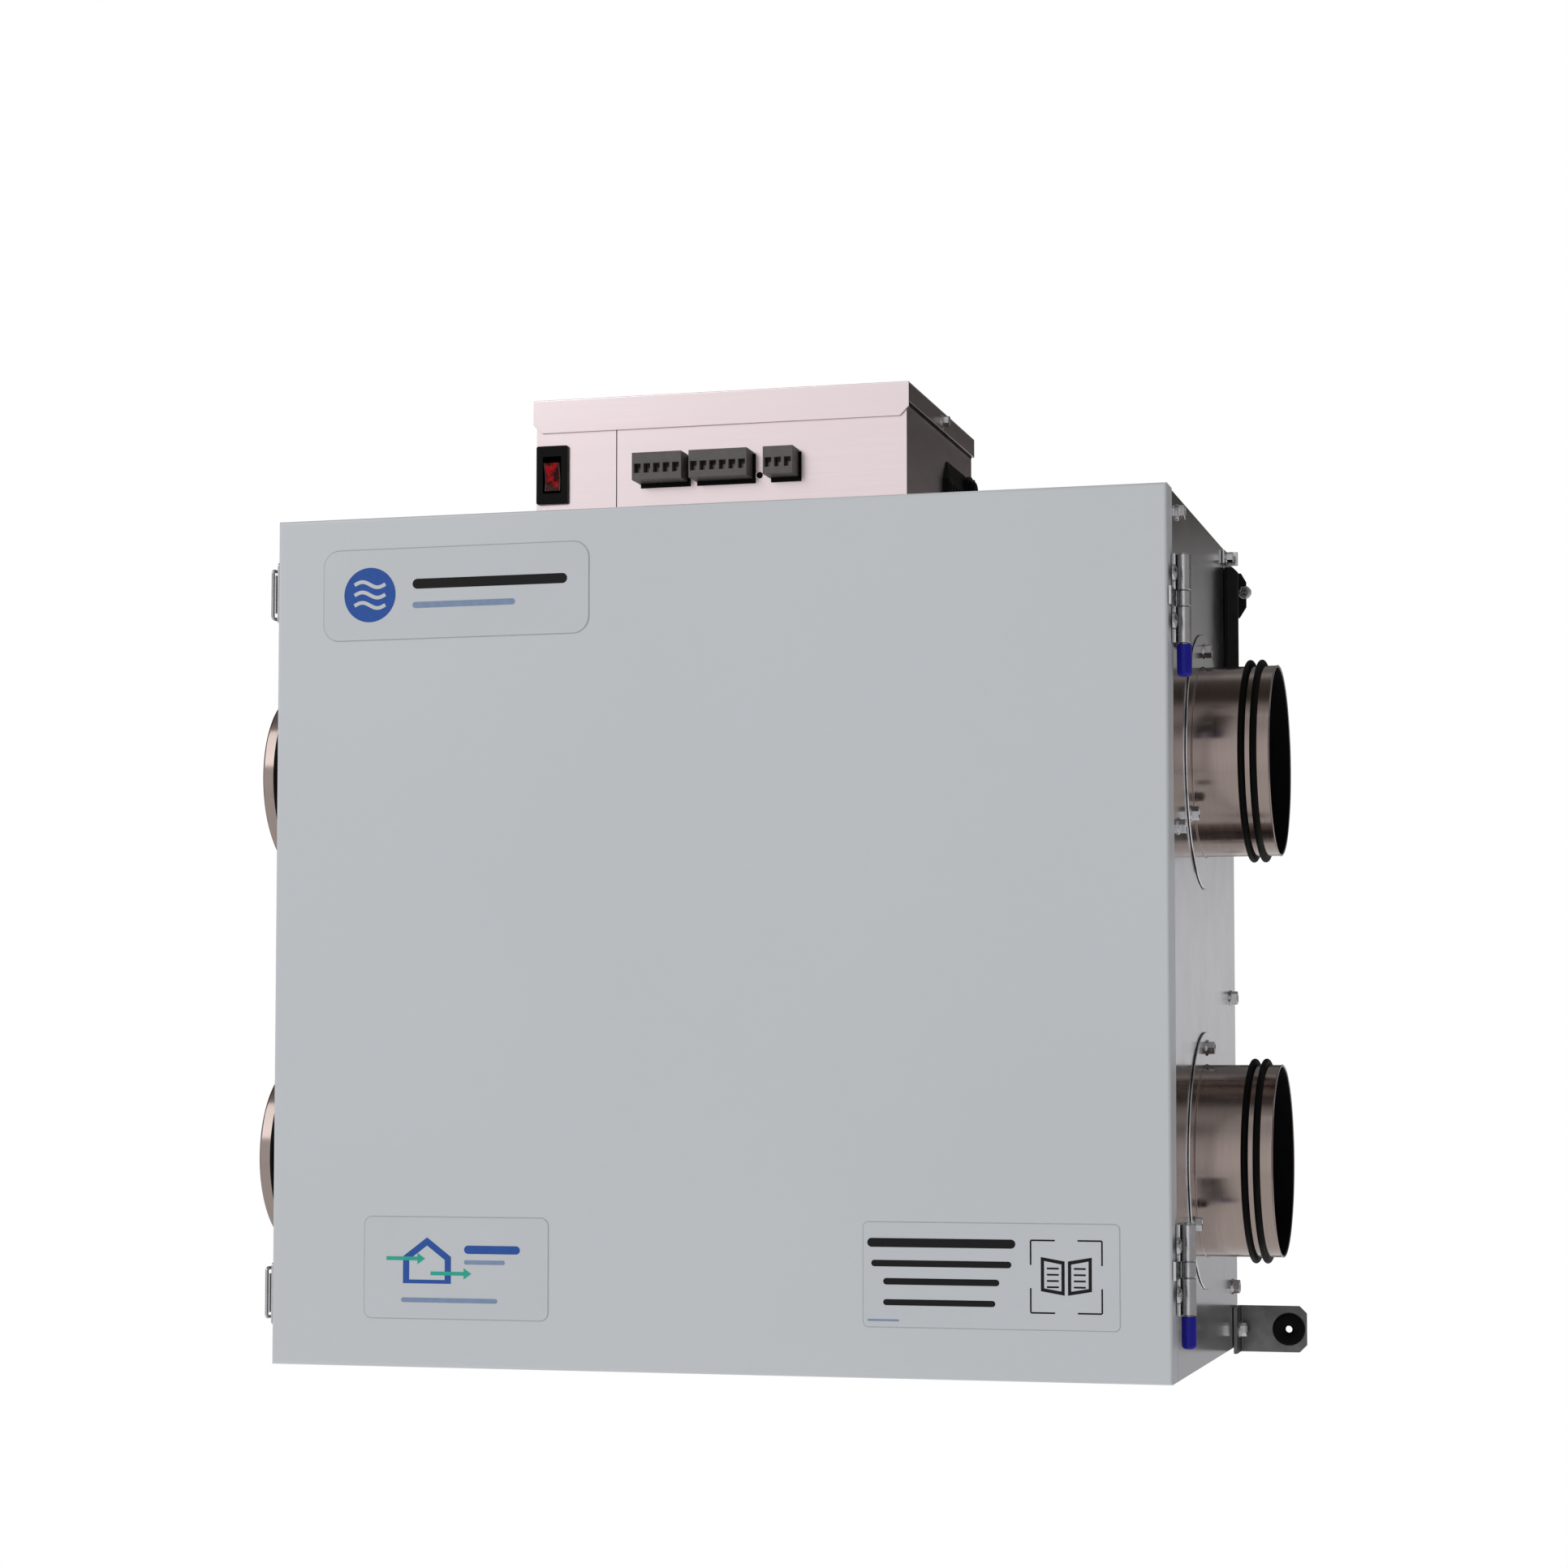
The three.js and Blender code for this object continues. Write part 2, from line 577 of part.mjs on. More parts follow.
function controlBox() {
  const { centreX, halfWidth, front, back, height } = BOX;
  const base = HEIGHT + GAP;
  const bodyTop = HEIGHT + height - SHEET - LID.play;
  const xs = [centreX - halfWidth, centreX + halfWidth];
  const outer = block(xs, [front, back], [base, bodyTop]);
  const inX = [xs[0] + SHEET, xs[1] - SHEET];
  const inside = block(inX, [front + SHEET, back - SHEET], [base + SHEET, bodyTop + 1]);
  const through = [front - 2, front + 3];
  const above = ([low, high]) => [HEIGHT + low, HEIGHT + high];
  const switchHole = block(
    [SWITCH.x[0] + 1.6, SWITCH.x[1] - 1.6],
    through,
    above([SWITCH.z[0] + 1.6, SWITCH.z[1] - 1.6]),
  );
  const slots = TERMINALS.map(({ x }) =>
    block([x[0] + 0.5, x[1] - 0.5], through, above([TERMINAL_Z[0] + 1.5, TERMINAL_Z[1] - 1.5])),
  );
  const status = bar("y", [STATUS_HOLE.x, HEIGHT + STATUS_HOLE.z], STATUS_HOLE.r, through, 12);
  const glandX = [xs[1] - 3, xs[1] + 3];
  const glandHole = bar("x", [GLAND.y, HEIGHT + GLAND.z], GLAND.neck + 0.4, glandX, 20);
  const body = cut(outer, inside, switchHole, ...slots, status, glandHole);
  place("control_box_body", body, boxSteel);

  const lap = LID.lap;
  const lidX = [xs[0] - lap, xs[1] + lap];
  const lidY = [front - lap, back + lap];
  const top = HEIGHT + height;
  const thick = lap - LID.play;
  const plate = block(lidX, lidY, [top - SHEET, top]);
  const frontFlange = prismY(
    [
      [lidX[0], top],
      [lidX[1], top],
      [lidX[1], top - LID.frontFlange + LID.chamfer],
      [lidX[1] - LID.chamfer, top - LID.frontFlange],
      [lidX[0] + LID.chamfer, top - LID.frontFlange],
      [lidX[0], top - LID.frontFlange + LID.chamfer],
    ],
    [lidY[0], lidY[0] + thick],
  );
  const flangeZ = [top - LID.sideFlange, top];
  const rear = block(lidX, [lidY[1] - thick, lidY[1]], flangeZ);
  const cheeks = lidX.map((edge, i) => {
    const inner = i ? edge - thick : edge + thick;
    return block([edge, inner], lidY, flangeZ);
  });
  place("control_box_lid", join(plate, frontFlange, rear, ...cheeks), boxSteel);
}

/** Snap-in switch: a hollow housing and the rocker that tilts in it about its middle. */
function rocker() {
  const x = (SWITCH.x[0] + SWITCH.x[1]) / 2;
  const z = HEIGHT + (SWITCH.z[0] + SWITCH.z[1]) / 2;
  const frontY = BOX.front - SWITCH.proud;
  const wall = BOX.front - GAP;
  const zs = [HEIGHT + SWITCH.z[0], HEIGHT + SWITCH.z[1]];
  const bezel = block(SWITCH.x, [frontY, wall], zs);
  const sleeveX = [SWITCH.x[0] + 2, SWITCH.x[1] - 2];
  const sleeve = block(sleeveX, [frontY, BOX.front + 16], [zs[0] + 2, zs[1] - 2]);
  const hollowHalf = [5, 9.6];
  const hollow = block(
    [x - hollowHalf[0], x + hollowHalf[0]],
    [frontY - 1, BOX.front + 12],
    [z - hollowHalf[1], z + hollowHalf[1]],
  );
  place("switch_housing", cut(join(bezel, sleeve), hollow), switchPlastic);

  const half = 7.3;
  const reach = SWITCH.pivotY - frontY;
  const turn = THREE.MathUtils.degToRad(SWITCH.tilt);
  const profile = [
    [-reach - 0.4, -half],
    [-reach + 1, 0],
    [-reach - 0.4, half],
    [0, half * 0.8],
    [2.5, 0],
    [0, -half * 0.8],
  ].map(([back, up]) => [
    SWITCH.pivotY + back * Math.cos(turn) - up * Math.sin(turn),
    z + back * Math.sin(turn) + up * Math.cos(turn),
  ]);
  place("power_rocker", prismX(profile, [x - 4.2, x + 4.2]), rockerPlastic);
}

const BOARD = { z: 11.4, thick: 1.6, half: 74, y: [20.4, 100] };
const TONGUE = { inX: 1.6, inZ: 3, length: 9 };

function terminals() {
  const boardX = [BOX.centreX - BOARD.half, BOX.centreX + BOARD.half];
  const boardZ = [HEIGHT + BOARD.z, HEIGHT + BOARD.z + BOARD.thick];
  const board = block(boardX, BOARD.y, boardZ);
  const wall = BOX.front - GAP;
  const tongueEnd = BOX.front + TONGUE.length;
  const headers = [];
  const sockets = [];
  for (const { name, poles, x } of TERMINALS) {
    const zs = TERMINAL_Z.map((z) => HEIGHT + z);
    const tongueX = [x[0] + TONGUE.inX, x[1] - TONGUE.inX];
    const tongueZ = [zs[0] + TONGUE.inZ, zs[1] - TONGUE.inZ];
    const body = block(x, [BOX.front - TERMINAL_PROUD, wall], zs);
    const tongue = block(tongueX, [wall - 1, tongueEnd], tongueZ);
    const first = (x[0] + x[1]) / 2 - ((poles - 1) * TERMINAL_PITCH) / 2;
    const entries = Array.from({ length: poles }, (_, i) => {
      const middle = first + i * TERMINAL_PITCH;
      const face = BOX.front - TERMINAL_PROUD;
      return block([middle - 1.5, middle + 1.5], [face - 1, face + 6], [zs[0] + 1.8, zs[0] + 5.2]);
    });
    place(name, cut(join(body, tongue), ...entries), terminalPlastic);
    const headerY = [BOX.front + SHEET + 0.9, tongueEnd + 2.5];
    headers.push(block([x[0] + 0.3, x[1] - 0.3], headerY, [boardZ[0] + 1, zs[1] - 1]));
    const grown = (span) => [span[0] - GAP, span[1] + GAP];
    sockets.push(block(grown(tongueX), [headerY[0] - 1, tongueEnd + GAP], grown(tongueZ)));
  }
  place("control_board", cut(join(board, ...headers), ...sockets), boardGreen);

  const seat = HEIGHT + GAP + SHEET + GAP;
  const core = block([-72, -18], [112, 158], [seat + 5, seat + 42]);
  const coil = block([-62, -28], [106, 164], [seat + 10, seat + 37]);
  const feet = block([-80, -10], [127, 143], [seat, seat + 6]);
  place("transformer", join(core, coil, feet), windings);
}

function cableGland() {
  const wallX = BOX.centreX + BOX.halfWidth;
  const centre = [GLAND.y, HEIGHT + GLAND.z];
  const collar = bar("x", centre, GLAND.r, [wallX + GAP, wallX + 3], 20);
  const dome = bar("x", centre, GLAND.r - 2, [wallX + 2, wallX + GLAND.proud], 16);
  const neck = bar("x", centre, GLAND.neck, [wallX - SHEET - 8, wallX + 1], 20);
  const nut = bar("x", centre, GLAND.r, [wallX - SHEET - 5, wallX - SHEET - GAP], 6);
  place("cable_gland", join(collar, dome, neck, nut), switchPlastic);
}

// ---------- wall fixings ----------

function wallFixings() {
  const { z, reach, thick, leg, chamfer } = BRACKET;
  forEachSide((name, side) => {
    const x = (out) => outward(side, out);
    const arm = prismY(
      [
        [x(GAP), z[0]],
        [x(reach - chamfer), z[0]],
        [x(reach), z[0] + chamfer],
        [x(reach), z[1] - chamfer],
        [x(reach - chamfer), z[1]],
        [x(GAP), z[1]],
      ],
      [DEPTH - thick, DEPTH],
    );
    const foot = block([x(GAP), x(GAP + thick)], [DEPTH - leg, DEPTH], z);
    const at = [x(GROMMET.out), GROMMET.z];
    const hole = bar("y", at, GROMMET.neck + GAP, [DEPTH - thick - 1, DEPTH + 1], 20);
    place(`wall_bracket_${name}`, cut(join(arm, foot), hole), plainSteel);

    const frontY = DEPTH - thick - GAP;
    const flange = bar("y", at, GROMMET.r, [frontY - GROMMET.flange, frontY], 24);
    const neck = bar("y", at, GROMMET.neck, [frontY - 1, DEPTH], 20);
    const bore = bar("y", at, GROMMET.bore, [frontY - 5, DEPTH + 1], 12);
    place(`bracket_grommet_${name}`, cut(join(flange, neck), bore), rubber);

    const top = HEIGHT - HANGER.top;
    const bottom = top - HANGER.length;
    const strap = prismY(
      [
        [x(GAP), bottom],
        [x(HANGER.out), bottom],
        [x(HANGER.out), top - HANGER.chamfer],
        [x(HANGER.out - HANGER.chamfer), top],
        [x(GAP), top],
      ],
      [HANGER.y, HANGER.y + HANGER.thick],
    );
    const footY = [HANGER.y, HANGER.y + HANGER.foot];
    const hangerFoot = block([x(GAP), x(GAP + 1.5)], footY, [bottom, top]);
    place(`hanger_strap_${name}`, join(strap, hangerFoot), blackSteel);
  });
}

casePanels();
insulation();
condensatePan();
coreAndFilters();
fans();
collars();
door();
hinge("lower", HINGE_INSET);
hinge("upper", HEIGHT - HINGE_INSET - HINGE_LENGTH);
latch("lower", LATCH_INSET);
latch("upper", HEIGHT - LATCH_INSET);
controlBox();
rocker();
terminals();
cableGland();
wallFixings();

unit.position.set(0, -DEPTH, -HEIGHT / 2);
const heatRecoveryUnit = new THREE.Group();
heatRecoveryUnit.add(unit);

export default heatRecoveryUnit;
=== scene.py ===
"""Looks of the wall-hung heat recovery ventilator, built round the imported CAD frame.

Helpers take millimetres measured on the unit: x from the case's centre to the right, y back from the door's
face, z up from the case's underside. at() turns them into the scene's metres, from where
the CAD puts the door.
"""
import math
import random

import bmesh
import bpy
from mathutils import Matrix, Vector


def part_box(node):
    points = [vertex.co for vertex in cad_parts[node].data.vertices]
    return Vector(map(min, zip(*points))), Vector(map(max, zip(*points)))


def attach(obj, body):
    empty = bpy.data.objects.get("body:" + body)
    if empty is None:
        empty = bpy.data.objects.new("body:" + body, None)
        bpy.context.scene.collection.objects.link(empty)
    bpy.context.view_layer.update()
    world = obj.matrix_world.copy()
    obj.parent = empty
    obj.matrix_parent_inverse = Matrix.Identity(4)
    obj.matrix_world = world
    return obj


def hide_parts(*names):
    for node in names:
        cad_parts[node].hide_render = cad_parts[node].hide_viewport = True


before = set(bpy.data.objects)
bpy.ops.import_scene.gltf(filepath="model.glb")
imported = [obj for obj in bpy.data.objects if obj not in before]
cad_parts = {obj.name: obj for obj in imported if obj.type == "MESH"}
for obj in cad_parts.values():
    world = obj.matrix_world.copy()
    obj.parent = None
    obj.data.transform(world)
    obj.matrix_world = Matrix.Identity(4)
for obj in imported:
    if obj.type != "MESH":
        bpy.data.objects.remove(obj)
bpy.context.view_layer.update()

# ---------- places and sizes, from the frame ----------

MM = 0.001
door_low, door_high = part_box("door_panel")
case_low, case_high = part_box("case_right_panel")
back_low, back_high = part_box("case_back_panel")
HALF = door_high.x / MM
DOOR_HEIGHT = (door_high.z - door_low.z) / MM
DOOR_DEPTH = (door_high.y - door_low.y) / MM
HEIGHT = (case_high.z - case_low.z) / MM
CASE_FRONT = (case_low.y - door_low.y) / MM
DEPTH = (back_high.y - door_low.y) / MM
SIDES = {"left": -1, "right": 1}


def at(x, y, z):
    return Vector((x * MM, door_low.y + y * MM, door_low.z + z * MM))


def node_box(node):
    """A CAD node's lowest and highest corners in the unit's millimetres."""
    corners = []
    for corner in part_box(node):
        corners.append((corner.x / MM, (corner.y - door_low.y) / MM, (corner.z - door_low.z) / MM))
    return corners


def node_middle(node):
    low, high = node_box(node)
    return tuple((a + b) / 2 for a, b in zip(low, high))


# ---------- camera, light and floor ----------

LENS = 76.95
CAMERA_AT = (469.9, -1610.3, 149.9)
CAMERA_YAW = 14.934
CAMERA_PITCH = 3.4
SHIFT_UP = 0.0569


def add_camera():
    data = bpy.data.cameras.new("camera")
    data.lens = LENS
    data.sensor_width = 36
    data.shift_y = SHIFT_UP
    data.clip_end = 200
    camera = bpy.data.objects.new("camera", data)
    camera.location = at(*CAMERA_AT)
    camera.rotation_euler = (math.radians(90 + CAMERA_PITCH), 0, math.radians(CAMERA_YAW))
    bpy.context.scene.collection.objects.link(camera)
    bpy.context.scene.camera = camera


def area_light(name, location, target, size, power, mirrored=True):
    """A soft lamp; one that is not mirrored lights the surfaces but shows in no gloss."""
    data = bpy.data.lights.new(name, "AREA")
    data.shape = "RECTANGLE"
    data.size = size
    data.size_y = size
    data.energy = power
    light = bpy.data.objects.new(name, data)
    light.visible_glossy = mirrored
    light.location = location
    light.rotation_euler = (Vector(target) - Vector(location)).to_track_quat("-Z", "Y").to_euler()
    bpy.context.scene.collection.objects.link(light)


def sky_ramp(tree, source, stops):
    """Colours along a direction's coordinate, which runs from -1 to 1."""
    spread = tree.nodes.new("ShaderNodeMapRange")
    spread.inputs["From Min"].default_value = -1
    spread.inputs["From Max"].default_value = 1
    tree.links.new(source, spread.inputs["Value"])
    ramp = tree.nodes.new("ShaderNodeValToRGB")
    ramp.color_ramp.interpolation = "EASE"
    elements = ramp.color_ramp.elements
    while len(elements) < len(stops):
        elements.new(0.5)
    for element, (place, color) in zip(elements, stops):
        element.position = (place + 1) / 2
        element.color = (*color, 1)
    tree.links.new(spread.outputs["Result"], ramp.inputs["Fac"])
    return ramp.outputs["Color"]


def mix_colors(tree, factor, first, second, blend="MIX"):
    """Mixes two colours; the factor and the colours are sockets or fixed values."""
    mix = tree.nodes.new("ShaderNodeMix")
    mix.data_type = "RGBA"
    mix.blend_type = blend
    for name, value in (("Factor", factor), ("A", first), ("B", second)):
        if isinstance(value, bpy.types.NodeSocket):
            tree.links.new(value, mix.inputs[name])
        else:
            mix.inputs[name].default_value = value
    return mix.outputs["Result"]


# The studio's light: how high, how far back or how near the glow a direction points, and the colour there.
FRONT_SKY = [
    (-1, (0.30, 0.29, 0.29)), (0, (0.44, 0.42, 0.42)), (0.3, (0.38, 0.36, 0.36)), (0.56, (0.24, 0.23, 0.23)),
    (0.78, (0.58, 0.57, 0.57)), (0.88, (0.46, 0.45, 0.45)), (0.97, (0.08, 0.07, 0.06)),
]
REAR_SKY = [
    (-1, (0.36, 0.36, 0.37)), (-0.09, (0.38, 0.38, 0.39)), (0.03, (0.55, 0.545, 0.56)),
    (0.14, (0.20, 0.196, 0.196)), (0.17, (0.036, 0.033, 0.027)), (0.30, (0.04, 0.038, 0.036)),
    (0.48, (0.21, 0.205, 0.205)), (0.74, (0.24, 0.235, 0.235)), (0.85, (0.52, 0.51, 0.51)),
    (0.95, (0.14, 0.13, 0.12)),
]
REAR_SHARE = [(-0.1, (0, 0, 0)), (0.4, (1, 1, 1))]
GLOW = [(0.70, (0, 0, 0)), (0.93, (0.56, 0.555, 0.565)), (1, (0.60, 0.595, 0.605))]
GLOW_TOWARD = Vector((-0.30, -0.94, 0.12)).normalized()


def add_world():
    """A studio: a soft light before the unit and to its left, a dim room round it, and a white backdrop."""
    world = bpy.data.worlds.new("studio")
    world.use_nodes = True
    tree = world.node_tree
    direction = tree.nodes.new("ShaderNodeTexCoord").outputs["Generated"]
    axes = tree.nodes.new("ShaderNodeSeparateXYZ")
    tree.links.new(direction, axes.inputs["Vector"])
    front = sky_ramp(tree, axes.outputs["Z"], FRONT_SKY)
    rear = sky_ramp(tree, axes.outputs["Z"], REAR_SKY)
    room = mix_colors(tree, sky_ramp(tree, axes.outputs["Y"], REAR_SHARE), front, rear)
    toward = tree.nodes.new("ShaderNodeVectorMath")
    toward.operation = "DOT_PRODUCT"
    toward.inputs[1].default_value = GLOW_TOWARD
    tree.links.new(direction, toward.inputs[0])
    studio = mix_colors(tree, 1, room, sky_ramp(tree, toward.outputs["Value"], GLOW), "ADD")
    camera_ray = tree.nodes.new("ShaderNodeLightPath").outputs["Is Camera Ray"]
    backdrop = mix_colors(tree, camera_ray, studio, (1, 1, 1, 1))
    tree.links.new(backdrop, tree.nodes["Background"].inputs["Color"])
    bpy.context.scene.world = world


FLOOR_RADIUS = 3.4
FLOOR_DROP = -0.95
FLOOR_SIDES = 128
FLOOR_PAINT = {
    "Base Color": (0.86, 0.86, 0.86, 1),
    "Roughness": 1,
    "Specular IOR Level": 0,
    "Emission Color": (1, 1, 1, 1),
    "Emission Strength": 0.38,
}


def add_floor():
    """A pale round floor well below the unit, which hangs on a wall."""
    paint = bpy.data.materials.new("floor_paint")
    paint.use_nodes = True
    for socket, value in FLOOR_PAINT.items():
        paint.node_tree.nodes["Principled BSDF"].inputs[socket].default_value = value
    mesh = bpy.data.meshes.new("floor")
    turns = [2 * math.pi * i / FLOOR_SIDES for i in range(FLOOR_SIDES)]
    rim = [Vector((FLOOR_RADIUS * math.cos(a), FLOOR_RADIUS * math.sin(a), FLOOR_DROP)) for a in turns]
    mesh.from_pydata(rim, [], [tuple(range(FLOOR_SIDES))])
    mesh.materials.append(paint)
    floor = bpy.data.objects.new("floor", mesh)
    bpy.context.scene.collection.objects.link(floor)


add_camera()
add_world()
add_floor()
area_light("key", (-2.2, -2.6, 2.6), (0, -0.1, 0), size=3.0, power=60)
area_light("rear_fill", (-2.6, 2.6, 1.6), (0, 0, 0), size=2.4, power=60, mirrored=False)
bpy.context.scene.view_settings.view_transform = "Standard"

# ---------- materials ----------

MATERIALS = {}


class Finish:
    """A principled material whose tint, gloss and relief follow patterns over the surface.

    tint, gloss and bump each hold a pattern's arguments, and then what the method of that name takes.
    """

    def __init__(self, name, color, roughness, tint, gloss, bump, metallic=0.0, **sockets):
        self.material = bpy.data.materials.new(name)
        self.material.use_nodes = True
        self.tree = self.material.node_tree
        self.bsdf = self.tree.nodes["Principled BSDF"]
        self.color = color
        plain = {"Base Color": (*color, 1), "Roughness": roughness, "Metallic": metallic, **sockets}
        for socket, value in plain.items():
            self.bsdf.inputs[socket.replace("_", " ")].default_value = value
        for vary, (pattern, *values) in ((self.tint, tint), (self.gloss, gloss), (self.bump, bump)):
            vary(self.pattern(*pattern), *values)
        MATERIALS[name] = self.material

    def node(self, kind, **values):
        """A new node with its inputs set by name, with _ for a space."""
        made = self.tree.nodes.new(kind)
        for key, value in values.items():
            made.inputs[key.replace("_", " ")].default_value = value
        return made

    def link(self, source, target):
        self.tree.links.new(source, target)

    def pattern(self, scale, detail, stretch=(1, 1, 1)):
        """Noise of a number of details, or the named output of cells, on object coordinates in metres."""
        if isinstance(detail, str):
            texture, output = self.node("ShaderNodeTexVoronoi", Scale=scale), detail
        else:
            texture, output = self.node("ShaderNodeTexNoise", Scale=scale, Detail=detail), "Fac"
        mapping = self.node("ShaderNodeMapping", Scale=stretch)
        self.link(self.node("ShaderNodeTexCoord").outputs["Object"], mapping.inputs["Vector"])
        self.link(mapping.outputs["Vector"], texture.inputs["Vector"])
        return texture.outputs[output]

    def ramp(self, source, low, high, start, end):
        """The source's values from start to end, spread from low to high."""
        ramp = self.node("ShaderNodeMapRange", From_Min=start, From_Max=end, To_Min=low, To_Max=high)
        self.link(source, ramp.inputs["Value"])
        return ramp.outputs["Result"]

    def tint(self, source, spread, start=0.3, end=0.7):
        """Base colour from darker to lighter by the given share, after source."""
        dark = (*[c * (1 - spread) for c in self.color], 1)
        light = (*[min(1, c * (1 + spread)) for c in self.color], 1)
        mixed = mix_colors(self.tree, self.ramp(source, 0, 1, start, end), dark, light)
        self.link(mixed, self.bsdf.inputs["Base Color"])

    def gloss(self, source, low, high):
        """Roughness from low to high, after source."""
        self.link(self.ramp(source, low, high, 0.3, 0.7), self.bsdf.inputs["Roughness"])

    def bump(self, source, depth, strength):
        """Relief of the given depth in metres."""
        bump = self.node("ShaderNodeBump", Strength=strength, Distance=depth)
        self.link(source, bump.inputs["Height"])
        self.link(bump.outputs["Normal"], self.bsdf.inputs["Normal"])

    def edge_wear(self, amount, color):
        """Lighter, worn colour where the surface turns sharply."""
        pointiness = self.node("ShaderNodeNewGeometry").outputs["Pointiness"]
        socket = self.bsdf.inputs["Base Color"]
        wear = self.ramp(pointiness, 0, amount, 0.52, 0.6)
        self.link(mix_colors(self.tree, wear, socket.links[0].from_socket, (*color, 1)), socket)


METALS = [
    ("galvanised", (0.66, 0.655, 0.67), 0.17,
     ((110, "Color"), 0.03, 0, 1), ((26, 4), 0.13, 0.2), ((9, 2), 0.0006, 0.12)),
    ("box_steel", (0.715, 0.628, 0.642), 0.24,
     ((160, 4, (0.15, 1, 6)), 0.012), ((40, 3, (0.3, 1, 4)), 0.245, 0.265), ((9, 1), 0.0003, 0.03)),
    ("collar_steel", (0.285, 0.235, 0.215), 0.2,
     ((30, 5, (70, 1, 1)), 0.06), ((40, 5, (60, 0.6, 0.6)), 0.13, 0.2),
     ((60, 6, (60, 0.4, 0.4)), 0.00001, 0.3)),
    ("zinc_steel", (0.46, 0.465, 0.475), 0.2,
     ((240, 4), 0.06), ((300, 5, (1, 1, 3)), 0.14, 0.3), ((900, 3), 0.00002, 0.4)),
    ("bracket_steel", (0.12, 0.12, 0.118), 0.36,
     ((120, 4), 0.12), ((160, 5), 0.28, 0.46), ((700, 4), 0.00003, 0.4)),
    ("fan_steel", (0.70, 0.70, 0.72), 0.42,
     ((90, "Color"), 0.06, 0, 1), ((60, 4), 0.38, 0.46), ((400, 3), 0.00001, 0.2)),
    ("contact_metal", (0.16, 0.15, 0.14), 0.35,
     ((900, 3), 0.08), ((1200, 3), 0.22, 0.4), ((2500, 2), 0.00001, 0.4)),
]
PLASTICS = [
    ("terminal_plastic", (0.075, 0.07, 0.067), 0.48,
     ((300, 4), 0.1), ((500, 3), 0.4, 0.55), ((3000, 2), 0.00002, 0.4)),
    ("pan_plastic", (0.03, 0.031, 0.034), 0.5,
     ((60, 3), 0.15), ((80, 3), 0.42, 0.58), ((900, 4), 0.00006, 0.5)),
    ("fan_plastic", (0.02, 0.02, 0.022), 0.42,
     ((90, 3), 0.2), ((120, 3), 0.34, 0.5), ((1200, 3), 0.00003, 0.4)),
    ("circuit_board", (0.015, 0.11, 0.045), 0.35,
     ((260, "Color"), 0.2, 0, 1), ((300, 2), 0.28, 0.45), ((420, "Distance"), 0.00003, 0.5)),
    ("foam", (0.84, 0.84, 0.82), 0.85,
     ((330, "Color"), 0.04, 0, 1), ((200, 2), 0.75, 0.95), ((330, "Distance"), 0.0004, 0.7)),
    ("core_plastic", (0.70, 0.79, 0.82), 0.35,
     ((40, 2), 0.05), ((120, 3), 0.28, 0.42), ((800, 2), 0.00003, 0.3)),
    ("core_frame", (0.12, 0.13, 0.14), 0.4,
     ((120, 3), 0.12), ((200, 3), 0.34, 0.5), ((1500, 2), 0.00003, 0.4)),
    ("filter_media", (0.36, 0.385, 0.40), 0.95,
     ((900, 6), 0.35), ((400, 3), 0.85, 1.0), ((1400, 8), 0.0006, 0.9)),
]
# The last number is the specular level.
DULL_FINISHES = [
    ("rubber", (0.0025, 0.0025, 0.0025), 0.55,
     ((120, 4), 0.3), ((90, 4), 0.45, 0.62), ((1500, 3), 0.00003, 0.5), 0.06),
    ("pin_cap_vinyl", (0.008, 0.007, 0.25), 0.32,
     ((180, 3), 0.12), ((240, 3), 0.26, 0.4), ((500, 2, (1, 1, 0.3)), 0.00006, 0.4), 0.2),
    ("switch_plastic", (0.002, 0.002, 0.002), 0.34,
     ((300, 3), 0.2), ((200, 3), 0.24, 0.4), ((2600, 2), 0.00002, 0.4), 0.08),
    ("rocker_red", (0.22, 0.001, 0.004), 0.16,
     ((260, 3), 0.9, 0.4, 0.6), ((300, 3), 0.12, 0.22), ((160, 2), 0.00004, 0.3), 0.1),
    ("rocker_edge", (0.05, 0.012, 0.012), 0.2,
     ((250, 2), 0.1), ((300, 3), 0.14, 0.26), ((900, 2), 0.00001, 0.3), 0.3),
    ("label_stock", (0.502, 0.532, 0.556), 0.4,
     ((30, 2), 0.01), ((60, 3), 0.38, 0.42), ((1500, 2), 0.00001, 0.1), 0.4),
]
INKS = {
    "ink_black": (0.006, 0.006, 0.007),
    "ink_blue": (0.025, 0.085, 0.33),
    "ink_teal": (0.03, 0.36, 0.27),
    "ink_slate": (0.20, 0.27, 0.40),
    # The edge colour below is no print: it colours the painted shade line round each label's raised edge.
    "painted_edge_shadow": (0.38, 0.405, 0.42),
}


def make_finishes():
    for row in METALS:
        Finish(*row, metallic=1.0)
    Finish("transformer_steel", (0.13, 0.12, 0.11), 0.5, ((300, 3), 0.2), ((200, 3), 0.4, 0.6),
           ((60, 2, (1, 60, 1)), 0.0002, 0.8), metallic=0.6)
    for row in PLASTICS:
        Finish(*row)
    for *row, specular in DULL_FINISHES:
        Finish(*row, Specular_IOR_Level=specular)
    for name, color in INKS.items():
        Finish(name, color, 0.4, ((300, 2), 0.05), ((500, 3), 0.34, 0.46), ((2500, 2), 0.00001, 0.3),
               Specular_IOR_Level=0.15)
    door = Finish("door_paint", (0.508, 0.538, 0.562), 0.4, ((5, 3), 0.012), ((35, 4), 0.36, 0.46),
                  ((1100, 2), 0.00003, 0.25), Coat_Weight=0.12, Coat_Roughness=0.25)
    door.edge_wear(0.25, (0.62, 0.63, 0.64))
    black = Finish("black_steel", (0.004, 0.0035, 0.003), 0.4, ((200, 3), 0.2), ((150, 3), 0.34, 0.5),
                   ((1300, 3), 0.00004, 0.5), Specular_IOR_Level=0.1)
    black.edge_wear(0.2, (0.04, 0.035, 0.035))


make_finishes()

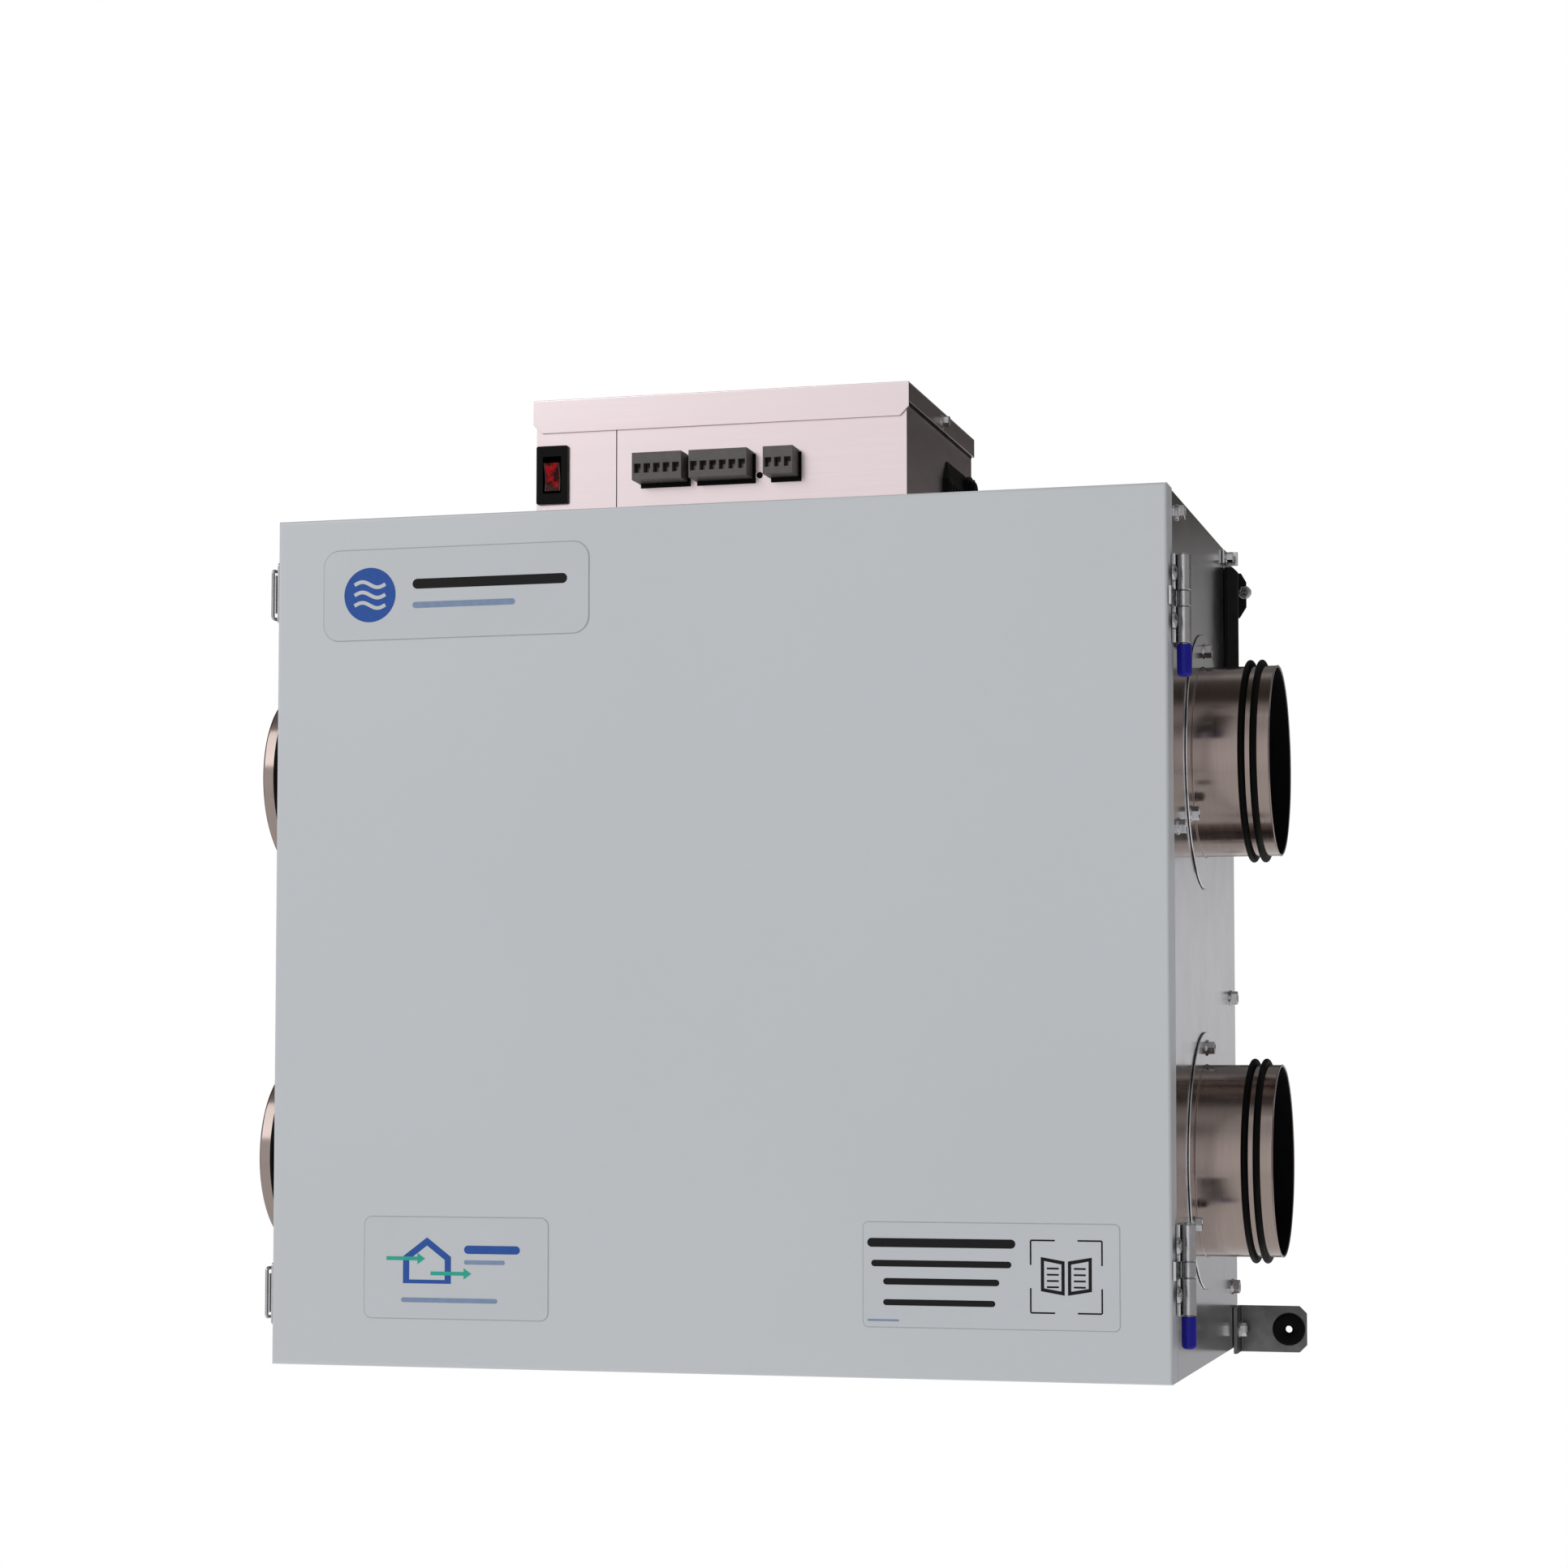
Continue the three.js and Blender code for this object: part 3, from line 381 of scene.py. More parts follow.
# ---------- mesh building ----------


def soften(bm, width, segments=2, angle=35):
    """Rounds every edge that turns by more than the angle."""
    bmesh.ops.recalc_face_normals(bm, faces=bm.faces)
    limit = math.radians(angle)
    edges = [e for e in bm.edges if len(e.link_faces) == 2 and e.calc_face_angle(0) > limit]
    if edges and width:
        bmesh.ops.bevel(
            bm, geom=edges, offset=width * MM, offset_type="OFFSET", segments=segments,
            profile=0.5, affect="EDGES", clamp_overlap=True,
        )


SHARP_ANGLE = math.radians(32)


class Piece:
    """A named mesh put together from shapes, each with its own material."""

    def __init__(self, name, body, slot):
        self.name, self.body, self.slot = name, body, slot
        self.bm = bmesh.new()
        self.materials = []

    def index(self, material):
        if material not in self.materials:
            self.materials.append(material)
        return self.materials.index(material)

    def take(self, part, material=None, transform=None):
        """Adds a bmesh to the piece, in its slot's material unless another is named, and frees it."""
        if transform is not None:
            bmesh.ops.transform(part, matrix=transform, verts=part.verts)
        index = self.index(material or self.slot)
        for face in part.faces:
            face.material_index = index
            face.smooth = True
        mesh = bpy.data.meshes.new("part")
        part.to_mesh(mesh)
        part.free()
        self.bm.from_mesh(mesh)
        bpy.data.meshes.remove(mesh)

    def done(self, *replaced):
        mesh = bpy.data.meshes.new(self.name)
        self.bm.to_mesh(mesh)
        self.bm.free()
        for material in self.materials:
            mesh.materials.append(MATERIALS[material])
        mesh.set_sharp_from_angle(angle=SHARP_ANGLE)
        made = bpy.data.objects.new(self.name, mesh)
        bpy.context.scene.collection.objects.link(made)
        weighted = made.modifiers.new("weighted", "WEIGHTED_NORMAL")
        weighted.keep_sharp = True
        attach(made, self.body)
        if replaced:
            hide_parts(*replaced)


def box(low, high, bevel=0.3, segments=2):
    bm = bmesh.new()
    low, high = at(*low), at(*high)
    size = [abs(b - a) for a, b in zip(low, high)]
    middle = (low + high) / 2
    matrix = Matrix.Translation(middle) @ Matrix.Diagonal((*size, 1))
    bmesh.ops.create_cube(bm, size=1, matrix=matrix)
    soften(bm, bevel, segments)
    return bm


AXES = {
    "x": lambda a, b, along: (along, a, b),
    "y": lambda a, b, along: (a, along, b),
    "z": lambda a, b, along: (a, b, along),
}


def plate(axis, points, span, bevel=0.3, holes=(), segments=2):
    """A flat outline with holes, given as points on the two other axes, thick along the axis."""
    bm = bmesh.new()
    turn = AXES[axis]
    edges = []
    for loop in [points, *holes]:
        verts = [bm.verts.new(at(*turn(a, b, span[0]))) for a, b in loop]
        edges += [bm.edges.new((v, verts[i - 1])) for i, v in enumerate(verts)]
    if holes:
        bmesh.ops.triangle_fill(bm, use_beauty=True, use_dissolve=False, edges=edges)
    else:
        bm.faces.new(list(bm.verts))
    grown = bmesh.ops.extrude_face_region(bm, geom=list(bm.faces))
    moved = [g for g in grown["geom"] if isinstance(g, bmesh.types.BMVert)]
    shift = at(*turn(0, 0, span[1])) - at(*turn(0, 0, span[0]))
    bmesh.ops.translate(bm, vec=shift, verts=moved)
    soften(bm, bevel, segments)
    return bm


def circle(a, b, radius, count=64, start=0.0):
    step = 2 * math.pi / count
    return [
        (a + radius * math.cos(start + i * step), b + radius * math.sin(start + i * step))
        for i in range(count)
    ]


def rect(low, high):
    return [(low[0], low[1]), (high[0], low[1]), (high[0], high[1]), (low[0], high[1])]


def placed(points, origin, way=1):
    """Points moved to an origin; their first numbers run the other way where way is -1."""
    return [(origin[0] + way * a, origin[1] + b) for a, b in points]


def rounded(low, high, radius, steps=8):
    """A rectangle with round corners, as points."""
    points = []
    corners = [(high[0], high[1], 0), (low[0], high[1], 1), (low[0], low[1], 2), (high[0], low[1], 3)]
    for x, y, quarter in corners:
        centre_x = x - radius if x == high[0] else x + radius
        centre_y = y - radius if y == high[1] else y + radius
        for i in range(steps + 1):
            angle = math.pi / 2 * (quarter + i / steps)
            points.append((centre_x + radius * math.cos(angle), centre_y + radius * math.sin(angle)))
    return points


def skin(rings, closed=False, capped=False):
    """Faces between rings of points; a ring of one point is a tip."""
    bm = bmesh.new()
    loops = [[bm.verts.new(point) for point in ring] for ring in rings]
    pairs = list(zip(loops, loops[1:]))
    if closed:
        pairs.append((loops[-1], loops[0]))
    for first, second in pairs:
        count = max(len(first), len(second))
        for i in range(count):
            j = (i + 1) % count
            corners = [loop[k % len(loop)] for loop, k in ((first, i), (first, j), (second, j), (second, i))]
            bm.faces.new(list(dict.fromkeys(corners)))
    if capped:
        bm.faces.new(loops[0])
        bm.faces.new(loops[-1])
    bmesh.ops.recalc_face_normals(bm, faces=bm.faces)
    return bm


def lathe(axis, centre, profile, count=64, closed=True):
    """A body of revolution. The profile is (along, radius) points; the centre is on the other axes."""
    turn = AXES[axis]
    rings = []
    for along, radius in profile:
        ring = circle(*centre, radius, count) if radius else [centre]
        rings.append([at(*turn(a, b, along)) for a, b in ring])
    return skin(rings, closed)


def rod(axis, centre, radius, span, bevel=0.3, count=32):
    """A solid round bar with softened ends."""
    low, high = sorted(span)
    bevel = min(bevel, radius * 0.9, (high - low) / 2)
    profile = [(low, 0), (low, radius - bevel)]
    steps = 3
    for i in range(1, steps + 1):
        angle = math.pi / 2 * i / steps
        profile.append((low + bevel * (1 - math.cos(angle)), radius - bevel * (1 - math.sin(angle))))
    for i in range(steps + 1):
        angle = math.pi / 2 * i / steps
        profile.append((high - bevel * (1 - math.sin(angle)), radius - bevel * (1 - math.cos(angle))))
    profile.append((high, 0))
    return lathe(axis, centre, profile, count, closed=False)


def tube(points, radius, count=12):
    """A round wire that follows a smooth list of points, with closed ends."""
    path = [at(*p) for p in points]
    rings = []
    normal = None
    for i, point in enumerate(path):
        ahead = path[min(i + 1, len(path) - 1)] - path[max(i - 1, 0)]
        tangent = ahead.normalized()
        if normal is None:
            normal = tangent.orthogonal().normalized()
        normal = (normal - tangent * normal.dot(tangent)).normalized()
        side = tangent.cross(normal)
        turns = [2 * math.pi * k / count for k in range(count)]
        rings.append([point + (normal * math.cos(a) + side * math.sin(a)) * radius * MM for a in turns])
    return skin(rings, capped=True)


def arc_path(corners, radius, steps=6):
    """Straight runs through the corners, with each inner corner rounded."""
    points = [Vector(corners[0])]
    for before, corner, after in zip(corners, corners[1:], corners[2:]):
        before, corner, after = Vector(before), Vector(corner), Vector(after)
        start = corner + (before - corner).normalized() * radius
        end = corner + (after - corner).normalized() * radius
        for i in range(steps + 1):
            t = i / steps
            points.append(start * (1 - t) ** 2 + corner * 2 * t * (1 - t) + end * t ** 2)
    points.append(Vector(corners[-1]))
    return points


# ---------- fasteners ----------


def facing(direction, spot):
    """Moves a shape built at the origin, facing +Z, to a spot, facing a direction."""
    turn = Vector((0, 0, 1)).rotation_difference(Vector(direction)).to_matrix().to_4x4()
    return Matrix.Translation(at(*spot)) @ turn


def head(profile, count=24, capped=False):
    """A turned or many-sided shape about +Z at the origin, from (height, radius) points in millimetres."""
    rings = []
    for height, radius in profile:
        ring = circle(0, 0, radius, count) if radius else [(0, 0)]
        rings.append([(a * MM, b * MM, height * MM) for a, b in ring])
    return skin(rings, capped=capped)


def hex_prism(across, low, high, dish):
    """A hexagon head about +Z at the origin, with a shallow dish in its top."""
    radius = across / 2 / math.cos(math.pi / 6)
    profile = [(low, radius), (high - 0.35, radius), (high, radius * 0.93), (high, radius * 0.7),
               (high - dish, radius * 0.62)]
    return head(profile, 6, capped=True)


def hex_screw(piece, spot, direction, across=6.35, washer=8.4, material="zinc_steel"):
    """A hex-washer-head sheet-metal screw standing on a surface."""
    matrix = facing(direction, spot)
    rim = [(0, washer / 2), (0.5, washer / 2), (0.95, washer / 2 - 0.5), (1.1, 0)]
    piece.take(head(rim), material, matrix)
    turn = Matrix.Rotation(math.radians(random.uniform(0, 60)), 4, "Z")
    piece.take(hex_prism(across, 0.9, 4.1, 0.5), material, matrix @ turn)


def pan_screw(piece, spot, direction, radius=4.4, height=1.9, material="zinc_steel"):
    """A low domed screw head with a cross recess, drawn as two dark bars across the dome: painted shade in
    the recess.
    """
    matrix = facing(direction, spot)
    dome = [(0, radius)]
    for i in range(1, 6):
        angle = math.pi / 2 * i / 6
        dome.append((height * math.sin(angle), radius * math.cos(angle) ** 0.8))
    dome += [(height, radius * 0.3), (height * 0.55, radius * 0.22), (height * 0.5, 0)]
    piece.take(head(dome), material, matrix)
    # The dark bars paint the shade inside the cross recess.
    for turn in (0, math.pi / 2):
        slot = bmesh.new()
        size = Matrix.Diagonal((radius * 0.95 * MM, 0.55 * MM, 0.25 * MM, 1))
        lift = Matrix.Translation((0, 0, (height + 0.02) * MM))
        bmesh.ops.create_cube(slot, size=1, matrix=Matrix.Rotation(turn, 4, "Z") @ lift @ size)
        piece.take(slot, "core_frame", matrix)


# ---------- case ----------

PORTS = {
    (level, side): node_middle(f"duct_collar_{level}_{side}")
    for level in ("lower", "upper")
    for side in SIDES
}
SKIN = 1.0
PORT_HOLE = 49.0


def outward(side, distance):
    return side * (HALF + distance)


def case_panels():
    inner = HALF - SKIN
    for name, side in SIDES.items():
        piece = Piece(f"side_{name}", "case", "galvanised")
        outline = rect((CASE_FRONT, 0), (DEPTH, HEIGHT))
        holes = [circle(*PORTS[level, name][1:], PORT_HOLE) for level in ("lower", "upper")]
        piece.take(plate("x", outline, (side * inner, outward(side, 0)), 0.45, holes))
        lip = ((side * (inner - 11), CASE_FRONT, 1.3), (side * (inner + 0.2), CASE_FRONT + 1, HEIGHT - 1.3))
        piece.take(box(*lip))
        piece.done(f"case_{name}_panel")
    half = inner - 0.3
    for name, sheet_z, lip_z in (
        ("top", (HEIGHT - SKIN, HEIGHT), (HEIGHT - 11, HEIGHT - 0.2)),
        ("bottom", (0, SKIN), (0.2, 11)),
    ):
        piece = Piece(f"case_{name}", "case", "galvanised")
        sheet = box((-half, CASE_FRONT, sheet_z[0]), (half, DEPTH, sheet_z[1]), 0.3)
        piece.take(sheet)
        piece.take(box((-half + 11, CASE_FRONT, lip_z[0]), (half - 11, CASE_FRONT + 1, lip_z[1])))
        piece.done(f"case_{name}_panel")
    back = Piece("case_back", "case", "galvanised")
    back.take(box((-half, DEPTH - SKIN, 1.3), (half, DEPTH, HEIGHT - 1.3), 0.3))
    foot, crest = half - 44, half - 40
    rib = placed([(-crest, -2.6), (crest, -2.6), (foot, -0.8), (-foot, -0.8)], (0, DEPTH))
    for z in (HEIGHT * 0.33, HEIGHT * 0.67):
        back.take(plate("z", rib, (z - 7, z + 7), 0.5))
    back.done("case_back_panel")


def case_screws():
    random.seed(4)
    piece = Piece("case_screws", "case", "zinc_steel")
    for side in SIDES.values():
        x = outward(side, 0)
        spots = [(36, HEIGHT - 8.5), (32, 271), (226, 190.5), (226, 33.5)]
        for y, z in spots:
            hex_screw(piece, (x, y, z), (side, 0, 0))
    piece.done()


def dress(node, material):
    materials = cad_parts[node].data.materials
    materials.clear()
    materials.append(MATERIALS[material])


# ---------- door ----------

FACE = 0.5  # the painted face stands this far behind the labels' faces
BEND = 1.8
DOOR_SKIN = 1.0


def door_panel():
    """A folded pan: face, rounded bends and return flanges, open at the back."""
    piece = Piece("door_skin", "door", "door_paint")
    bm = bmesh.new()
    low, high = at(-HALF, FACE, 0), at(HALF, DOOR_DEPTH, DOOR_HEIGHT)
    matrix = Matrix.Translation((low + high) / 2) @ Matrix.Diagonal((*(high - low), 1))
    bmesh.ops.create_cube(bm, size=1, matrix=matrix)
    rear = [f for f in bm.faces if f.normal.y > 0.9]
    bmesh.ops.delete(bm, geom=rear, context="FACES_ONLY")
    front = [e for e in bm.edges if all(v.co.y < low.y + 1e-5 for v in e.verts)]
    bmesh.ops.bevel(bm, geom=front, offset=BEND * MM, segments=5, profile=0.5, affect="EDGES")
    sharp = [e for e in bm.edges if len(e.link_faces) == 2 and e.calc_face_angle(0) > 1.2]
    upright = [e for e in sharp if abs(e.verts[0].co.y - e.verts[1].co.y) > 0.004]
    bmesh.ops.bevel(bm, geom=upright, offset=0.4 * MM, segments=2, profile=0.5, affect="EDGES")
    bmesh.ops.recalc_face_normals(bm, faces=bm.faces)
    centre_face = max(bm.faces, key=lambda f: f.calc_area())
    if centre_face.normal.y > 0:
        bmesh.ops.reverse_faces(bm, faces=bm.faces)
    bmesh.ops.solidify(bm, geom=list(bm.faces), thickness=DOOR_SKIN * MM)
    piece.take(bm)
    piece.done("door_panel")

    low, high = node_box("door_liner")
    liner = Piece("door_foam", "door", "foam")
    liner.take(box(low, high, 0.8, 3))
    liner.done("door_liner")

    low, high = node_box("door_seal")
    width = 10
    outline = rounded((low[0], low[2]), (high[0], high[2]), 2, 4)
    hole = rounded((low[0] + width, low[2] + width), (high[0] - width, high[2] - width), 2, 4)
    seal = Piece("door_gasket", "door", "rubber")
    seal.take(plate("y", outline, (low[1], high[1] - 0.8), 0.3, [hole]))
    for inset in (2.4, 6.4):
        ridge = rounded((low[0] + inset, low[2] + inset), (high[0] - inset, high[2] - inset), 3, 5)
        path = [(a, high[1] - 1.0, b) for a, b in ridge]
        seal.take(tube([*path, path[0]], 0.95, 8))
    seal.done("door_seal")


FILM = 0.05  # how far print stands proud of its label


def sticker(piece, low, high, radius, thick, bevel):
    """A label with a painted shadow line round its edge: a darker ring that stands for the shade at its
    raised rim. Returns how far back its face is.
    """
    outline = rounded(low, high, radius)
    piece.take(plate("y", outline, (FACE - thick, FACE + 0.1), bevel, segments=3), "label_stock")
    shadow_rims = []
    for grow in (0.45, -0.1):
        corners = [(low[0] - grow, low[1] - grow), (high[0] + grow, high[1] + grow)]
        shadow_rims.append(rounded(*corners, radius + grow))
    # The darker ring round the label is painted shade at its raised edge, not print.
    piece.take(plate("y", shadow_rims[0], (FACE - FILM, FACE + 0.1), 0, [shadow_rims[1]]), "painted_edge_shadow")
    return FACE - thick


def ink(piece, outline, face, material, holes=()):
    """Printed shape: a film on a label's face."""
    piece.take(plate("y", outline, (face - FILM, face + FILM), 0, holes), material)


def bar_mark(piece, x0, x1, z, height, face, material):
    """A rounded bar that stands in for a line of print."""
    ink(piece, rounded((x0, z - height / 2), (x1, z + height / 2), height / 2 - 0.01, 6), face, material)


def stroke(points, width):
    """A ribbon of even width along points, as one outline."""
    left, right = [], []
    for i, (x, z) in enumerate(points):
        before, after = points[max(i - 1, 0)], points[min(i + 1, len(points) - 1)]
        along = Vector((after[0] - before[0], after[1] - before[1])).normalized()
        side = Vector((-along.y, along.x)) * width / 2
        left.append((x + side.x, z + side.y))
        right.append((x - side.x, z - side.y))
    return left + right[::-1]


def air_wave(x, z, length, rise, width):
    steps = [i / 24 for i in range(25)]
    return stroke([(x + length * t, z + rise * math.sin(t * 2 * math.pi)) for t in steps], width)


def badge():
    """Raised name plate with a plain airflow sign and bars instead of a name."""
    piece = Piece("door_badge", "door", "door_paint")
    face = sticker(piece, (-207, 373.2), (-62.5, 420.1), radius=8.5, thick=0.4, bevel=0.35)
    centre = (-181.5, 396.6)
    ink(piece, circle(*centre, 14.2, 72), face, "ink_blue")
    for row in (-5.4, 0, 5.4):
        wave = air_wave(centre[0] - 8.5, centre[1] + row, 17, 1.5, 1.9)
        piece.take(plate("y", wave, (face - 0.09, face), 0), "label_stock")
    bar_mark(piece, -158, -74, 401.5, 5.2, face, "ink_black")
    bar_mark(piece, -158, -102, 390.5, 3.2, face, "ink_slate")
    piece.done()


def house(x, z, size):
    """A plain house outline with its wall as a ring."""
    outer = [(x - size, z - size * 0.8), (x + size, z - size * 0.8), (x + size, z + size * 0.25),
             (x, z + size), (x - size, z + size * 0.25)]
    k = 0.74
    inner = [(x + (a - x) * k, z - size * 0.06 + (b - z) * k) for a, b in outer]
    return outer, inner


def arrow(x0, x1, z, width):
    """An arrow from x0 to x1."""
    way = 1 if x1 > x0 else -1
    neck = x1 - way * width * 2.2
    return [(x0, z - width / 2), (neck, z - width / 2), (neck, z - width * 1.5), (x1, z),
            (neck, z + width * 1.5), (neck, z + width / 2), (x0, z + width / 2)]


def series_label():
    """Small label with a house and two arrows: air in, air out."""
    piece = Piece("door_label_left", "door", "door_paint")
    left = -HALF + 51.2
    face = sticker(piece, (left, 24.9), (-HALF + 150.1, 76.2), radius=4, thick=0.28, bevel=0.2)
    x, z = left + 34, 53
    outer, inner = house(x, z, 13)
    ink(piece, outer, face, "ink_blue", [inner])
    for start, end, height in ((x - 22, x - 1, z + 2.2), (x + 2, x + 24, z - 5.2)):
        piece.take(plate("y", arrow(start, end, height, 1.9), (face - 0.1, face), 0), "ink_teal")
    bar_mark(piece, x + 20, x + 50, z + 7, 4.2, face, "ink_blue")
    bar_mark(piece, x + 20, x + 42, z + 0.6, 2.2, face, "ink_slate")
    bar_mark(piece, left + 20, left + 72, 34.2, 2.4, face, "ink_slate")
    piece.done()


def guide_label():
    """Instruction sticker: bars for print, and an open-book sign in a frame of corner marks."""
    piece = Piece("door_label_right", "door", "door_paint")
    right = HALF - 25.3
    left = right - 127
    face = sticker(piece, (left, 25.4), (right, 76.4), radius=2.5, thick=0.2, bevel=0.12)
    for start, end, z, height in (
        (2, 76, 66.5, 4.4),
        (4, 74, 56.4, 3.2),
        (10, 68, 47.6, 3.2),
        (10, 66, 37.4, 3.0),
    ):
        bar_mark(piece, left + start, left + end, z, height, face, "ink_black")
    bar_mark(piece, left + 2, left + 18, 28.6, 1.0, face, "ink_slate")
    x, z = left + 101, 51
    for way in (-1, 1):
        page = placed([(0.8, -9), (12.5, -7), (12.5, 9.5), (0.8, 7.5)], (x, z), way)
        hole = placed([(2.4, -7), (10.9, -5.6), (10.9, 7.6), (2.4, 6)], (x, z), way)
        ink(piece, page, face, "ink_black", [hole])
        for row in range(4):
            mark = z + 4 - row * 3
            bar_mark(piece, *sorted((x + way * 3.6, x + way * 9.6)), mark, 0.9, face, "ink_black")
    reach = 17.5
    for sx, sz in ((-1, -1), (1, -1), (-1, 1), (1, 1)):
        cx, cz = x + sx * reach, z + sz * reach
        bar_mark(piece, *sorted((cx, cx - sx * 12)), cz, 0.8, face, "ink_black")
        upright = rounded((cx - 0.4, min(cz, cz - sz * 12)), (cx + 0.4, max(cz, cz - sz * 12)), 0.39, 3)
        ink(piece, upright, face, "ink_black")
    piece.done()


# ---------- hinges ----------


def strap(piece, axis, to_leaf, leaf_x, zs):
    """The stretch of a leaf beside its knuckle, which meets the barrel's inner side."""
    ys = sorted((axis[1] + to_leaf * 5.6, axis[1] - to_leaf * 1.2))
    piece.take(box((leaf_x[0], ys[0], zs[0]), (leaf_x[1] + 0.5, ys[1], zs[1]), 0.2), "zinc_steel")


def knuckle(piece, axis, zs):
    radius, bore = 3.6, 2.25
    ring = [(zs[0], bore), (zs[0], radius - 0.35), (zs[0] + 0.35, radius), (zs[1] - 0.35, radius),
            (zs[1], radius - 0.35), (zs[1], bore)]
    piece.take(lathe("z", axis, ring, 48), "zinc_steel")


def hinges():
    leaf_x = (HALF + 0.3, HALF + 1.8)
    for level in ("lower", "upper"):
        low, high = node_box(f"hinge_door_leaf_{level}")
        axis = (high[0] - 3.6, CASE_FRONT - 0.2)
        bottom, top = low[2], high[2]
        door_leaf = Piece(f"door_leaf_{level}", "door", "zinc_steel")
        for zs in ((bottom, bottom + 18), (top - 17.8, top)):
            knuckle(door_leaf, axis, zs)
            strap(door_leaf, axis, -1, leaf_x, zs)
        mid = box((leaf_x[0], 2, bottom + 17.5), (leaf_x[1], 13.1, top - 17.3), 0.2)
        door_leaf.take(mid)
        for z in (bottom + 10.2, bottom + 33.8):
            pan_screw(door_leaf, (leaf_x[1], 8.6, z), (1, 0, 0))
        door_leaf.done(f"hinge_door_leaf_{level}")

        case_leaf = Piece(f"case_leaf_{level}", "case", "zinc_steel")
        middle = (bottom + 18.3, bottom + 25.9)
        knuckle(case_leaf, axis, middle)
        strap(case_leaf, axis, 1, leaf_x, middle)
        case_leaf.take(box((leaf_x[0], axis[1] + 5.3, bottom), (leaf_x[1], 42, top), 0.25))
        for z in (bottom + 9, bottom + 35):
            pan_screw(case_leaf, (leaf_x[1], 33, z), (1, 0, 0))
        case_leaf.done(f"hinge_case_leaf_{level}")

        pin_low, pin_high = node_box(f"hinge_pin_{level}")
        pin = Piece(f"pin_{level}", f"hinge_pin_{level}", "pin_cap_vinyl")
        cap_top = bottom - 0.5
        pin.take(rod("z", axis, 2.0, (cap_top - 2, pin_high[2]), 0.5, 32), "zinc_steel")
        cap = [(pin_low[2], 0), (pin_low[2], 1.6)]
        for i in range(1, 7):
            angle = math.pi / 2 * i / 6
            cap.append((pin_low[2] + 2.1 * (1 - math.cos(angle)), 1.6 + 2.1 * math.sin(angle)))
        rim = [(-0.5, 3.75), (-0.1, 3.6), (0, 3.2), (0, 2.1), (-1.5, 2.0), (-1.5, 0)]
        cap += placed(rim, (cap_top, 0))
        pin.take(lathe("z", axis, cap, 40, closed=False))
        pin.done(f"hinge_pin_{level}")


# ---------- latches ----------


def latches():
    def x(out):
        return -(HALF + out)

    def outline_at(points, y=0):
        return placed(points, (-HALF, y), -1)

    pivot = (x(4.6), 31)
    wire_end, wire_front = (x(3.2), 41), (x(6), 8)
    arch = [math.pi * i / 10 for i in range(11)]
    ear = [(1.2, 29.2), (1.2, 32.8), *[(4.6 + 1.8 * math.sin(a), 31 + 1.8 * math.cos(a)) for a in arch]]
    cheek = [(-2.6, 5), (-2.5, 25), (3, 26), (3, 2.5), (2.5, 0), (1.8, -1.7), (0, -2.4), (-1.8, -1.7),
             (-2.4, 0)]
    lip = [(6.6, 56.4), (7.6, 56), (9.2, 57.6), (11.4, 62), (10.5, 62.8), (8.4, 58.6)]
    hook = [(1.0, 12.9), (3.7, 12.9), (3.7, 6.5), (4.6, 6.5), (4.6, 13.3), (4.0, 13.9), (1.0, 13.9)]
    for level, centre in (("lower", 36), ("upper", HEIGHT - 36)):
        base = Piece(f"latch_plate_{level}", "case", "zinc_steel")
        outline = rounded((26, centre - 14), (56, centre + 14), 2.5, 5)
        base.take(plate("x", outline, (x(1.5), x(0.3)), 0.25))
        base.take(rod("z", pivot, 1.2, (centre - 11.3, centre + 11.3), 0.4, 20))
        lever = Piece(f"lever_{level}", f"latch_lever_{level}", "zinc_steel")
        lever.take(box((x(7.6), 33.5, centre - 11), (x(6.6), 56.8, centre + 11), 0.4, 3))
        lever.take(plate("z", outline_at(lip), (centre - 11, centre + 11), 0.3))
        keeper = Piece(f"keeper_{level}", "door", "zinc_steel")
        foot = rounded((2.5, centre - 15.7), (16.5, centre + 15.7), 1.5, 4)
        keeper.take(plate("x", foot, (x(1.3), x(0.3)), 0.2))
        keeper.take(plate("z", outline_at(hook), (centre - 10, centre + 10), 0.2))
        for sign in (-1, 1):
            base.take(plate("z", outline_at(ear), sorted((centre + sign * 8, centre + sign * 9.2)), 0.15))
            pan_screw(base, (x(1.5), 51, centre + sign * 5), (-1, 0, 0), 2.6, 1.2)
            zs = sorted((centre + sign * 9.8, centre + sign * 11))
            lever.take(plate("z", placed(cheek, pivot, -1), zs, 0.15, [circle(*pivot, 1.4, 16)]))
            pan_screw(keeper, (x(1.3), 9.5, centre + sign * 12.8), (-1, 0, 0), 2.2, 1.0)
        base.done(f"latch_base_{level}")
        lever.done(f"latch_lever_{level}")

        bail = Piece(f"bail_{level}", f"latch_bail_{level}", "zinc_steel")
        corners = []
        for (out, y), z in ((wire_end, -10), (wire_end, -12.6), (wire_front, -12.6),
                            (wire_front, 12.6), (wire_end, 12.6), (wire_end, 10)):
            corners.append((out, y, centre + z))
        bail.take(tube(arc_path(corners, 1.6), 0.9))
        bail.done(f"latch_bail_{level}")
        keeper.done(f"latch_keeper_{level}")


# ---------- duct collars ----------


